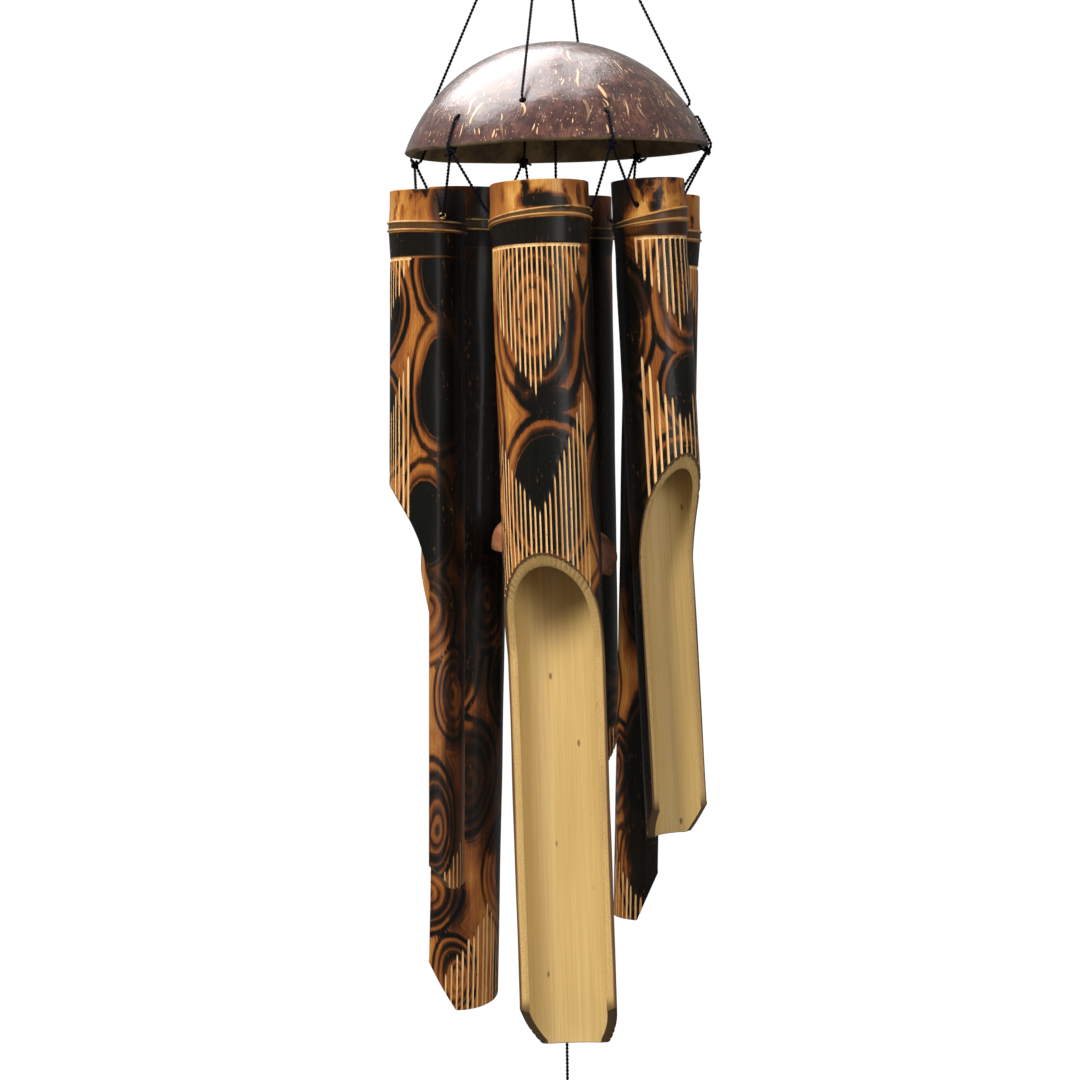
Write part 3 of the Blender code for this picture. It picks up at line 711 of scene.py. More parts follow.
def resampled(points, step):
    """Points at even steps along a line, and its length."""
    line = np.array([tuple(p) for p in points], float)
    along = np.concatenate([[0.0], np.cumsum(np.linalg.norm(np.diff(line, axis=0), axis=1))])
    count = max(3, ceil(along[-1] / step) + 1)
    at = np.linspace(0.0, along[-1], count)
    return np.stack([np.interp(at, along, line[:, k]) for k in range(3)], axis=1), along[-1]


def rounded(corners, bend):
    """A line through corners, each rounded off over the distance of one bend."""
    steps = 7
    points = [corners[0]]
    for before, corner, after in zip(corners, corners[1:], corners[2:]):
        back, on = before - corner, after - corner
        start = corner + back.normalized() * min(bend, 0.45 * back.length)
        end = corner + on.normalized() * min(bend, 0.45 * on.length)
        for i in range(steps):
            t = i / (steps - 1)
            points.append(start * (1 - t) ** 2 + corner * 2 * t * (1 - t) + end * t**2)
    return points + [corners[-1]]


def strand(points, radius=CORD_RADIUS, closed=False, step=CORD_STEP):
    """Points and faces of a two-ply twisted cord, and the line that they follow."""
    line, length = resampled(points, step)
    if closed:
        line = line[:-1]
    count = len(line)
    if closed:
        ahead = np.roll(line, -1, axis=0) - np.roll(line, 1, axis=0)
    else:
        ahead = np.gradient(line, axis=0)
    ahead /= np.linalg.norm(ahead, axis=1)[:, None]
    side = np.cross(ahead[0], (0.3, 0.9, 0.2))
    side /= np.linalg.norm(side)
    sides = [side]
    for i in range(1, count):
        side = sides[-1] - ahead[i] * float(sides[-1] @ ahead[i])
        sides.append(side / np.linalg.norm(side))
    sides = np.array(sides)
    others = np.cross(ahead, sides)
    lag = 0.0
    if closed:
        last = sides[-1] - ahead[0] * float(sides[-1] @ ahead[0])
        last /= np.linalg.norm(last)
        lag = -atan2(float(last @ others[0]), float(last @ sides[0]))
    turns = round(length / PLY_PITCH) if closed else length / PLY_PITCH
    angles = np.arange(CORD_SIDES) * 2 * pi / CORD_SIDES
    off, ply = 0.54 * radius, 0.6 * radius  # a ply's middle off the cord's, and its radius
    rows = []
    for i in range(count):
        share = i / count
        twist = 2 * pi * turns * share
        lobes = np.abs(np.cos(angles - twist)) * off + np.sqrt(
            np.maximum(ply**2 - (off * np.sin(angles - twist)) ** 2, (0.4 * ply) ** 2)
        )
        turned = angles + lag * share
        rows.append(
            line[i]
            + np.outer(lobes * np.cos(turned), sides[i])
            + np.outer(lobes * np.sin(turned), others[i])
        )
    points = np.concatenate(rows)
    rows = [range(i * CORD_SIDES, (i + 1) * CORD_SIDES) for i in range(count)]
    faces = []
    for one, two in zip(rows, rows[1:]):
        faces += band(one, two)
    faces += band(rows[-1], rows[0]) if closed else [tuple(rows[0])[::-1], tuple(rows[-1])]
    return points, faces, line


def overhand(centre, along, radius, turn, ply=CORD_RADIUS):
    """A pulled-tight knot about a direction: a torus knot of cord."""
    along = along.normalized()
    across = along.orthogonal().normalized()
    third = along.cross(across)
    tube = 0.98 * ply
    small = 0.42 * (radius - tube)
    big = radius - tube - small
    line = []
    for i in range(61):
        t = 2 * pi * i / 60
        reach = big + small * cos(3 * t)
        line.append(
            centre
            + across * reach * cos(2 * t + turn)
            + third * reach * sin(2 * t + turn)
            + along * 1.25 * small * sin(3 * t)
        )
    return strand(line, tube, closed=True, step=KNOT_STEP)


def joined(parts):
    """Several strands as one mesh's points and faces."""
    points, faces, shift = [], [], 0
    for some, own, _ in parts:
        points.append(some)
        faces += [tuple(i + shift for i in face) for face in own]
        shift += len(some)
    return np.concatenate(points), faces


def cord_piece(name, body, node, parts):
    """One cord, and its knots as a piece of their own.
    """
    for label, group in ((name, parts[:1]), (name + "_knots", parts[1:])):
        if not group:
            continue
        points, faces = joined(group)
        mesh = mesh_of(label, points, faces)
        keep_places(mesh)
        smooth(mesh, 60)
        piece(label, mesh, [CORD], body, node)


def suspension_cords():
    """Each from the main knot, in through the dome, past its stopper knot to the centre knot."""
    for side, (bearing, polar) in SUSPENSION_HOLES.items():
        outside = on_dome(bearing, polar, -SUSPENSION_LIFT)
        inside = on_dome(bearing, polar, DOME_WALL + SMALL_KNOT_RADIUS + GAP)
        start = UP * MAIN_KNOT_Z
        start += (outside - start).normalized() * 0.55 * MAIN_KNOT_RADIUS
        end = CENTRE_KNOT + (inside - CENTRE_KNOT).normalized() * 0.5 * CENTRE_KNOT_RADIUS
        line = rounded([start, outside, inside, end], 0.0022)
        knots = [overhand(inside, inside - outside, SMALL_KNOT_RADIUS, 0.4)]
        parts = [strand(line), *knots]
        cord_piece("cord_suspension_" + side, "canopy", "suspension_cord_" + side, parts)


def tie_knot(side):
    if side in TIES_KNOTTED_INSIDE:
        rise, depth = 0.0015, DOME_WALL + SMALL_KNOT_RADIUS + GAP
    else:
        rise, depth = -0.0028, DOME_WALL / 2
    return on_dome(TIE_BEARINGS[side], RIM_POLAR - rise / DOME_RADIUS, depth)


def rim_ties():
    """A loop through the shell and round its rim, knotted, with the knot's short cut tails."""
    for index, (side, bearing) in enumerate(TIE_BEARINGS.items()):
        outer, inner = -RIM_CORD_LIFT, DOME_WALL + RIM_CORD_LIFT
        centre = tie_knot(side)
        holes = [on_dome(bearing, TIE_POLAR, outer), on_dome(bearing, TIE_POLAR, inner)]
        if side in TIES_KNOTTED_INSIDE:
            along = (centre - holes[1]).normalized()
            foot = RIM_POLAR + 0.0016 / DOME_RADIUS
            edge = [on_dome(bearing, foot, depth) for depth in (DOME_WALL + 0.0025, outer)]
            corners = [*edge, *holes]
        else:
            along = outward(bearing)
            foot = RIM_POLAR + 0.001 / DOME_RADIUS
            corners = [on_dome(bearing, foot, outer), *holes, on_dome(bearing, foot, inner)]
        near = along * 0.3 * SMALL_KNOT_RADIUS
        line = rounded([centre + near, *corners, centre - near], 0.0013)
        parts = [strand(line), overhand(centre, along, SMALL_KNOT_RADIUS, 0.7 * index)]
        level = along.cross(UP).normalized()
        for way in (-1, 1):
            tail = centre + level * way * TAIL_REACH + DOWN * 0.001 * (1 + way * 0.6)
            halfway = centre.lerp(tail, 0.5) + along * 0.0003
            parts.append(strand([centre, halfway, tail], TAIL_RADIUS))
        cord_piece("cord_tie_" + side, "canopy", "rim_tie_" + side, parts)


def main_loop():
    """The loop over the ring's lower wire, and the main knot that draws the cords together."""
    over = RING_WIRE + CORD_RADIUS + GAP
    knot_top = MAIN_KNOT_Z + 0.5 * MAIN_KNOT_RADIUS
    corners = [Vector((0.0, 0.35 * over, knot_top))]
    for y, z in ((1, -1), (1, 1), (-1, 1), (-1, -1)):
        corners.append(Vector((0.0, y * over, LOWER_WIRE_Z + z * over)))
    corners.append(Vector((0.0, -0.35 * over, knot_top)))
    middle = UP * MAIN_KNOT_Z
    parts = [
        strand(rounded(corners, 0.002)),
        overhand(middle, UP, 0.96 * MAIN_KNOT_RADIUS, 0.3, ply=0.00105),
        overhand(middle, Vector((0.2, 1, 0.3)), 0.86 * MAIN_KNOT_RADIUS, 0.8, ply=0.0009),
    ]
    cord_piece("cord_hanging_loop", "canopy", "hanging_loop", parts)


def centre_knot():
    """The knot inside the shell, where the suspension cords meet: two windings of cord."""
    parts = [
        overhand(CENTRE_KNOT, UP, 0.98 * CENTRE_KNOT_RADIUS, 0.2, ply=0.0008),
        overhand(CENTRE_KNOT, Vector((1, 0.3, 0.2)), 0.85 * CENTRE_KNOT_RADIUS, 0.9),
    ]
    cord_piece("knot_centre", "clapper_knot", "centre_knot", parts)


def tube_cord(name, tube, mouths):
    """From one rim tie down to the tube, through its two holes and up to the next tie."""
    across = (mouths[1] - mouths[0]).normalized()
    outside = [mouths[0] - across * TUBE_CORD_LIFT, mouths[1] + across * TUBE_CORD_LIFT]
    ends = []
    for side, mouth in zip(tube.ties, outside):
        middle = tie_knot(side)
        level = Vector((mouth.x - middle.x, mouth.y - middle.y, 0.0)).normalized()
        ends.append(middle + level * 0.0008 + DOWN * 0.4 * SMALL_KNOT_RADIUS)
    line = rounded([ends[0], *outside, ends[1]], 0.0022)
    cord_piece("cord_tube_" + name, "cord_" + name, "tube_cord_" + name, [strand(line)])


# ---------------------------------------------------------------- tubes

FLUTE_SHARE, FLUTE_DEPTH = 0.215, 0.00045  # a flute's half width as a share of the pitch
FLUTE_COLUMNS = (-1.0, -0.55, 0.0, 0.55, 1.0)
RIDGE_HEIGHT, RIDGE_HALF_WIDTH, COMB_HALF_WIDTH = 0.0007, 0.00062, 0.00062
CUP_BEVEL, EDGE_BEVEL, UNEVENNESS = 0.0003, 0.00022, 0.00022
FLOOR_DISH = 0.0003  # how much thinner the floor is at its middle, on each side
NODE_SWELL, NODE_WAIST = 0.00055, 0.0002  # out at the node, and in below it
FOOT_SPAN = radians(62)  # how far round from the tongue's middle the foot's flutes reach
NO_RING, PLAIN_SKIN, OUTERMOST_RING = 9.0, 1.4, 1.9  # distances from an eye, in its half widths
EYE_SPACING, EYE_STAGGER, EYE_PITCH, EYE_STEP = 0.033, 0.024, 0.046, 0.012
EYE_CROWDING = 0.62  # the least square of two eyes' distance, as a share of their half sizes' sum


def wrapped(angle):
    """The same angle between -pi and pi."""
    return (angle + pi) % (2 * pi) - pi


class Carving:
    """Where a tube's flutes are: their angles from the notch's middle, and their ends."""

    def __init__(self, name, tube):
        rng = np.random.default_rng(sum(ord(c) for c in name))
        self.tube = tube
        pitch = tube.pitch / tube.radius
        left, right = radians(tube.span[0]), radians(tube.span[1])
        steps = np.arange(-int(left / pitch), int(right / pitch) + 1)
        self.angles = steps * pitch + rng.uniform(-0.06, 0.06, len(steps)) * pitch
        share = np.where(self.angles < 0, -self.angles / left, self.angles / right)
        near = (1 - share) ** 0.85
        jitter = rng.uniform(-0.0022, 0.0022, len(steps))
        side = np.where(self.angles < 0, tube.upper[0], tube.upper[2])
        self.tips = side + (tube.upper[1] - side) * near + jitter
        side = np.where(self.angles < 0, tube.lower[0], tube.lower[2])
        self.tops = side + (tube.lower[1] - side) * near - jitter * 0.8
        steps = np.arange(-int(FOOT_SPAN / pitch), int(FOOT_SPAN / pitch) + 1)
        self.foot_angles = pi + steps * pitch + rng.uniform(-0.1, 0.1, len(steps)) * pitch
        share = 1 - np.abs(steps * pitch) / FOOT_SPAN
        low, high = tube.foot
        self.foot_tops = tube.length - low - (high - low) * share
        self.foot_tops += rng.uniform(-0.0018, 0.0018, len(steps))
        self.widths = rng.uniform(0.88, 1.1, len(self.angles))
        self.foot_widths = rng.uniform(0.85, 1.15, len(self.foot_angles))

    def across(self, angle, at, width):
        """How deep one flute is, from 0 to 1, at an angle near it."""
        off = np.abs(wrapped(angle - at)) * self.tube.radius
        off /= FLUTE_SHARE * self.tube.pitch * width
        return np.interp(off, [0.0, 0.55, 1.0], [1.0, 0.82, 0.0])

    def depth(self, angle, drop):
        """How deep the carving is, from 0 to 1, at an angle from the notch's middle and a drop."""
        comb = self.tube.comb
        deep = np.zeros(np.broadcast(angle, drop).shape)
        for at, width, tip, top in zip(self.angles, self.widths, self.tips, self.tops):
            upper = np.clip((tip - drop) / 0.01, 0.0, 1.0) * (drop > comb)
            lower = np.clip((drop - top) / 0.008, 0.0, 1.0)
            along = np.maximum(upper, lower)
            deep = np.maximum(deep, self.across(angle, at, width) * along)
        for at, width, top in zip(self.foot_angles, self.foot_widths, self.foot_tops):
            along = np.clip((drop - top) / 0.007, 0.0, 1.0)
            deep = np.maximum(deep, self.across(angle, at, width) * along)
        left, right = self.angles[0] - 0.04, self.angles[-1] + 0.04
        line = np.clip(1.25 - np.abs(drop - comb) / COMB_HALF_WIDTH, 0.0, 1.0)
        inside = (wrapped(angle) > left) & (wrapped(angle) < right)
        return np.maximum(deep, line * inside)


def columns_of(tube, carving):
    """The angles of the mesh's columns, five to a flute and one on each edge of the tongue."""
    edge = acos(1 - tube.depth)
    angles = []
    flutes = list(zip(carving.angles, carving.widths))
    flutes += list(zip(wrapped(carving.foot_angles), carving.foot_widths))
    for at, width in flutes:
        for share in FLUTE_COLUMNS:
            angles.append(at + share * FLUTE_SHARE * width * tube.pitch / tube.radius)
    angles = [a for a in wrapped(np.array(angles)) if min(abs(a - edge), abs(a + edge)) > 0.02]
    angles = sorted(angles + [edge, -edge])
    full = []
    for here, there in zip(angles, angles[1:] + [angles[0] + 2 * pi]):
        full.append(here)
        extra = int((there - here) / radians(4.2))
        full += [here + (there - here) * k / (extra + 1) for k in range(1, extra + 1)]
    return np.array(sorted(wrapped(np.array(full)))), edge


def notch_drop(tube, depth):
    """The drop of the notch's edge at a depth from the front, in radii."""
    depth = np.clip(depth, 0.0, tube.depth)
    return tube.notch + NOTCH_SLOPE * depth + NOTCH_CURVE * depth**6


def foot_drop(tube, angle, radius):
    """How far down the tongue ends at an angle from the notch's middle."""
    edge = acos(1 - tube.depth)
    drop = np.full(np.shape(angle), tube.length)
    across = np.abs(angle)
    middle, half_angle = (edge + CORNER_ANGLE) / 2, (CORNER_ANGLE - edge) / 2
    half = tube.radius * sin(half_angle)
    cut = tube.corner * (half - radius * np.sin(across - middle)) / (2 * half)
    drop = np.where(across < CORNER_ANGLE + 0.02, np.minimum(drop, tube.length - cut), drop)
    bearing = radians(tube.opening) + angle
    slope = np.tan(radians(tube.rise)) * (tube.radius - radius * np.cos(bearing))
    return np.minimum(drop, tube.length - slope)


def tube_mesh(name, tube, carving):
    """One tube in its own frame with +X at the notch: skin 0, bore 1, cut wall 2."""
    radius, inner = tube.radius, tube.radius - tube.wall
    angles, edge = columns_of(tube, carving)
    edge_in = acos((1 - tube.depth) * radius / inner)
    size = np.abs(angles)
    squeeze = np.where(
        size < edge, size * edge_in / edge, pi - (pi - size) * (pi - edge_in) / (pi - edge)
    )
    inner_angles = np.sign(angles) * squeeze
    arch = size < edge - 1e-6
    count = len(angles)
    bearings = radians(tube.opening) + angles
    start = tube.notch - 0.006

    first, second = (ridge[0] for ridge in tube.ridges)
    comb = tube.comb
    drops = [0.0, CUP_BEVEL, 0.001, 0.003, 0.005, 0.007, 0.009, 0.011]
    for ridge in (first, second):
        drops += [ridge + k * RIDGE_HALF_WIDTH for k in (-1.9, -1.0, -0.5, 0.0, 0.5, 1.0, 1.9)]
    drops += [comb + k * COMB_HALF_WIDTH for k in (-2.2, -1.25, -0.8, 0.0, 0.8, 1.25, 2.4)]
    drops += list(np.arange(comb + 0.0032, start - 0.0006, 0.0019)) + [start]
    drops = np.array(sorted(set(np.round(drops, 6))))
    keep = [0]
    for i in range(1, len(drops)):
        if drops[i] - drops[keep[-1]] > 0.00018:
            keep.append(i)
    drops = drops[keep]
    slopes = np.interp(
        drops,
        [0.0, first, second, comb, comb + 0.012],
        [0.0, tube.ridges[0][1], tube.ridges[1][1], 0.0, 0.0],
    )
    azimuths = np.interp(drops, [first, second], [tube.ridges[0][2], tube.ridges[1][2]])
    fan, tongue = 15, max(10, int((tube.length - notch_drop(tube, tube.depth)) / 0.0022))

    def rows(own_angles, own_radius, drops, slopes, azimuths):
        """Drops of a surface's rows: level ones, then a fan to the notch, then the tongue."""
        made = [
            np.full(count, d) - s * radius * np.cos(bearings - radians(az))
            for d, s, az in zip(drops, slopes, azimuths)
        ]
        end = np.where(
            arch,
            notch_drop(tube, 1 - own_radius * np.cos(own_angles) / radius),
            notch_drop(tube, tube.depth),
        )
        for i in range(1, fan + 1):
            made.append(start + (end - start) * i / fan)
        last = foot_drop(tube, angles, own_radius)
        for i in range(1, tongue + 1):
            made.append(end + (last - end) * i / tongue)
        return np.array(made)

    outer_rows = rows(angles, radius, drops, slopes, azimuths)
    bore = np.concatenate([[FLOOR_TOP + FLOOR_THICKNESS], np.linspace(0.022, start, 7)])
    level = np.zeros(len(bore))
    inner_rows = rows(inner_angles, inner, bore, level, level)
    level_out, level_in = len(drops), len(bore)

    base = np.concatenate([np.repeat(drops[:, None], count, 1), outer_rows[level_out:]])
    node = (first + second) / 2
    swell = NODE_SWELL * np.exp(-(((base - node) / 0.0045) ** 2))
    swell -= NODE_WAIST * np.exp(-(((base - node - 0.013) / 0.007) ** 2))
    ridge = np.zeros(base.shape)
    for at, _, _ in tube.ridges:
        ridge = np.maximum(
            ridge, np.interp(np.abs(base - at) / RIDGE_HALF_WIDTH, [0.0, 0.5, 1.0], [1.0, 0.75, 0.0])
        )
    deep = carving.depth(angles[None, :], base)
    wander = np.array(
        [[noise.noise((3 * cos(a), 3 * sin(a), d * 30 + len(name))) for a in angles] for d in base[:, 0]]
    )
    wide = radius + swell + ridge * RIDGE_HEIGHT - deep * FLUTE_DEPTH + wander * UNEVENNESS
    wide[0] -= CUP_BEVEL

    points, faces, kinds = [], [], []

    def surface(own_angles, own_rows, reach):
        begin = len(points)
        for row_drops, row_reach in zip(own_rows, reach):
            for a, d, r in zip(own_angles, row_drops, row_reach):
                points.append((r * cos(a), r * sin(a), -d))
        return np.arange(begin, len(points)).reshape(len(own_rows), count)

    def wall_faces(grid, level, kind, flip=False):
        """The faces of a surface, with none where the notch is open."""
        for i in range(len(grid) - 1):
            for k in range(count):
                on = (k + 1) % count
                if i >= level - 1 + fan and (arch[k] or arch[on]):
                    continue
                face = (grid[i][k], grid[i][on], grid[i + 1][on], grid[i + 1][k])
                faces.append(face[::-1] if flip else face)
                kinds.append(kind)

    def add(new, kind):
        faces.extend(new)
        kinds.extend([kind] * len(new))

    outer = surface(angles, outer_rows, wide)
    wall_faces(outer, level_out, 0)
    inside = surface(inner_angles, inner_rows, np.full(inner_rows.shape, inner))
    wall_faces(inside, level_in, 1, True)

    # the cut through the wall: round the arch, down one edge of the tongue, along its foot, up
    right = int(np.flatnonzero(np.isclose(angles, edge))[0])
    left = int(np.flatnonzero(np.isclose(angles, -edge))[0])

    def boundary(grid, level):
        last_fan = level - 1 + fan
        loop = [(last_fan, k, "up") for k in range(left, right + 1)]
        loop += [(i, right, "side") for i in range(last_fan + 1, len(grid) - 1)]
        ring = list(range(right, count)) + list(range(0, left + 1))
        loop += [(len(grid) - 1, k, "up") for k in ring]
        loop += [(i, left, "side") for i in range(len(grid) - 2, last_fan, -1)]
        return loop

    outer_loop, inner_loop = boundary(outer, level_out), boundary(inside, level_in)
    spots = np.array(points)
    strips = []
    for share in (0.08, 0.24, 0.6, 0.93):
        begin = len(points)
        for (i, k, _), (m, q, _) in zip(outer_loop, inner_loop):
            a, b = spots[outer[i][k]], spots[inside[m][q]]
            points.append(tuple(a + (b - a) * share))
        strips.append(list(range(begin, len(points))))
    sides = ((outer_loop, outer), (inner_loop, inside))
    for loop, grid in sides:
        for i, k, way in loop:
            x, y, z = points[grid[i][k]]
            if way == "up":
                z += EDGE_BEVEL
            else:
                turn = EDGE_BEVEL / radius * (1 if angles[k] > 0 else -1)
                x, y = x * cos(turn) - y * sin(turn), x * sin(turn) + y * cos(turn)
            points[grid[i][k]] = (x, y, z)
    first_loop, last_loop = ([grid[i][k] for i, k, _ in loop] for loop, grid in sides)
    loops = [first_loop, *strips, last_loop]
    for one, two in zip(loops, loops[1:]):
        add(band(one, two), 2)

    # the cup over the floor, and the floor's underside
    cup_drops = [0.0, CUP_BEVEL, 0.004, 0.008, 0.012, FLOOR_TOP - 0.0006, FLOOR_TOP]
    cup_reach = [inner + CUP_BEVEL, inner, inner, inner, inner, inner, inner - 0.0009]
    floor_reach = [0.6 * inner, 0.25 * inner]
    cup_drops += [FLOOR_TOP + 0.0002, FLOOR_TOP + FLOOR_DISH]
    cup_reach += floor_reach

    def level_rows(drops, reach):
        return surface(inner_angles, *(np.repeat(np.array(v)[:, None], count, 1) for v in (drops, reach)))

    cup = level_rows(cup_drops, cup_reach)
    rim = level_rows([0.0], [(radius + inner) / 2])
    floor_drop = FLOOR_TOP + FLOOR_THICKNESS - FLOOR_DISH
    under = level_rows([floor_drop] * 2, floor_reach)
    middles = []
    for drop in (FLOOR_TOP + FLOOR_DISH, floor_drop):
        middles.append(len(points))
        points.append((0.0, 0.0, -drop))
    add(band(outer[0], rim[0]), 2)
    add(band(rim[0], cup[0]), 2)
    for one, two in (*zip(cup, cup[1:]), (inside[0], under[0]), (under[0], under[1])):
        add(band(one, two), 1)
    for ring, middle in ((cup[-1], middles[0]), (under[1], middles[1])):
        add([(ring[k], ring[(k + 1) % count], middle) for k in range(count)], 1)
    return mesh_of(name, points, [tuple(int(i) for i in f) for f in faces], kinds)


def marked(mesh, tube, carving):
    """Writes what the skin's material reads: rings, smoke, carving, ridges, and the place."""
    spots = places_of(mesh)
    angle = np.arctan2(spots[:, 1], spots[:, 0])
    drop = -spots[:, 2]
    bearing = radians(tube.opening) + angle
    ring, core = np.full(len(spots), NO_RING), np.zeros(len(spots))
    for at, down, wide, high, dark, lean, swirl in all_eyes(tube):
        across = wrapped(bearing - radians(at)) * tube.radius / wide
        along = (drop - down) / high
        far = np.sqrt(across**2 + along**2)
        inward = np.clip(1.0 - far, 0.0, 1.0)
        across, along = across - lean * inward, along - swirl * inward
        turn = np.arctan2(along, across)
        far = np.sqrt(across**2 + along**2) * (1 + 0.035 * np.sin(3 * turn + 9 * down * 40))
        core = np.where(far < ring, dark, core)
        ring = np.minimum(ring, far)
    smoke = np.zeros(len(spots))
    for at, down, wide, high, strength in tube.smoke:
        across = wrapped(bearing - radians(at)) * tube.radius / wide
        far = (np.abs(across) ** 2.6 + np.abs((drop - down) / high) ** 2.6) ** (1 / 2.6)
        smoke = np.maximum(smoke, strength * np.clip((1.35 - far) / 0.7, 0, 1))
    (first, *above), (second, *below) = tube.ridges
    over, under = (
        drop + slope * tube.radius * np.cos(bearing - radians(az)) for slope, az in (above, below)
    )
    band = np.clip((under - second - 0.0004) / 0.0008, 0, 1)
    band *= np.clip((tube.comb - 0.0002 - drop) / 0.0008, 0, 1)
    smoke = np.maximum(smoke, tube.band * band)
    plain = (over < first) | (drop < tube.comb)
    crest = np.zeros(len(spots))
    for at, place in ((first, over), (second, under)):
        near = 1.1 - np.abs(place - at) / (0.75 * RIDGE_HALF_WIDTH)
        crest = np.maximum(crest, np.clip(near, 0, 1))
    between = np.clip((over - first) / 0.0006, 0, 1) * np.clip((second - under) / 0.0006, 0, 1)
    put_number(mesh, "ring", np.where(plain, PLAIN_SKIN, np.minimum(ring, OUTERMOST_RING)))
    put_number(mesh, "core", core)
    put_number(mesh, "smoke", smoke)
    put_number(mesh, "scorch", np.clip((first - over) / 0.001, 0, 1) * 0.9)
    put_number(mesh, "crest", crest)
    put_number(mesh, "groove", np.clip(between - crest, 0, 1))
    put_number(mesh, "carve", carving.depth(angle, drop))
    put_number(mesh, "inward", (tube.radius - np.hypot(spots[:, 0], spots[:, 1])) / tube.wall)
    put_number(mesh, "end", np.clip((drop - tube.length + tube.corner + 0.004) / 0.004, 0, 1))
    put_vector(mesh, "local", spots + np.array([tube.top[0] * 9, tube.top[1] * 9, 0.0]))


def all_eyes(tube):
    """The burnt rings that are set one by one, and more of them round the rest of the tube."""
    rng = np.random.default_rng(int(tube.length * 10000))
    eyes = []
    for eye in tube.eyes:
        extra = (rng.uniform(0.3, 1.0), rng.uniform(-0.25, 0.25), rng.uniform(-0.22, 0.22))
        eyes.append((*eye, *extra[len(eye) - 4:]))
    across = max(3, round(2 * pi * tube.radius / EYE_SPACING))
    for column in range(across):
        at = degrees(2 * pi * column / across) + rng.uniform(-6, 6) + tube.opening
        down = 0.045 + rng.uniform(0, 0.02) + EYE_STAGGER * (column % 2)
        while down < tube.length + 0.01:
            wide, high = rng.uniform(0.0125, 0.0155), rng.uniform(0.02, 0.026)
            clear = all(
                (wrapped(radians(at - other[0])) * tube.radius / (wide + other[2])) ** 2
                + ((down - other[1]) / (high + other[3])) ** 2
                > EYE_CROWDING
                for other in eyes
            )
            if clear:
                shifts = rng.uniform(-0.25, 0.25), rng.uniform(-0.22, 0.22)
                eyes.append((at, down, wide, high, rng.uniform(0.2, 1.0), *shifts))
            down += EYE_PITCH + rng.uniform(0, 0.006) if clear else EYE_STEP
    return eyes


def centre_offset(node, tube):
    """Where the two cord holes lie: right over the tube's centre of mass, from its CAD node."""
    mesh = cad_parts[node].data
    mesh.calc_loop_triangles()
    spots = places_of(mesh)
    local = (np.array(tube_frame(tube).inverted()) @ np.c_[spots, np.ones(len(spots))].T).T[:, :3]
    near = local[np.abs(local[:, 2] + HOLE_DROP) < 1.05 * CORD_HOLE_RADIUS]
    near = near[np.hypot(near[:, 0], near[:, 1]) < tube.radius + 0.0001]
    near = near[np.abs(near[:, 1]) > 0.5 * tube.radius]
    return float((near[:, 0].max() + near[:, 0].min()) / 2)


def bamboo_tube(name, tube):
    carving = Carving(name, tube)
    mesh = tube_mesh("bamboo_" + name, tube, carving)
    turn = radians(tube.opening - tube.hang)  # from the frame's +X to the notch's middle
    offset = centre_offset("tube_" + name, tube)
    spin = Matrix.Rotation(-turn, 4, "Z")
    middle = spin @ Vector((offset, 0.0, -HOLE_DROP))
    along = spin @ Vector((0.0, 1.0, 0.0))
    mesh = bored("bamboo_" + name, mesh, [(middle, along, 2 * tube.radius + 0.01)], 1)
    marked(mesh, tube, carving)
    own_frame = tube_frame(tube) @ Matrix.Rotation(turn, 4, "Z")
    surfaces, body = [SKIN, BORE, CUT], "tube_" + name
    placed("bamboo_" + name, mesh, own_frame, 40, surfaces, body, "tube_" + name)
    reach = sqrt(tube.radius**2 - offset**2)
    mouths = [tube_frame(tube) @ Vector((offset, side * reach, -HOLE_DROP)) for side in (-1, 1)]
    tube_cord(name, tube, mouths)


# ---------------------------------------------------------------- dome

RIM_BULGE, RIM_WAVE, SHELL_LUMP = 0.0007, 0.00045, 0.0003


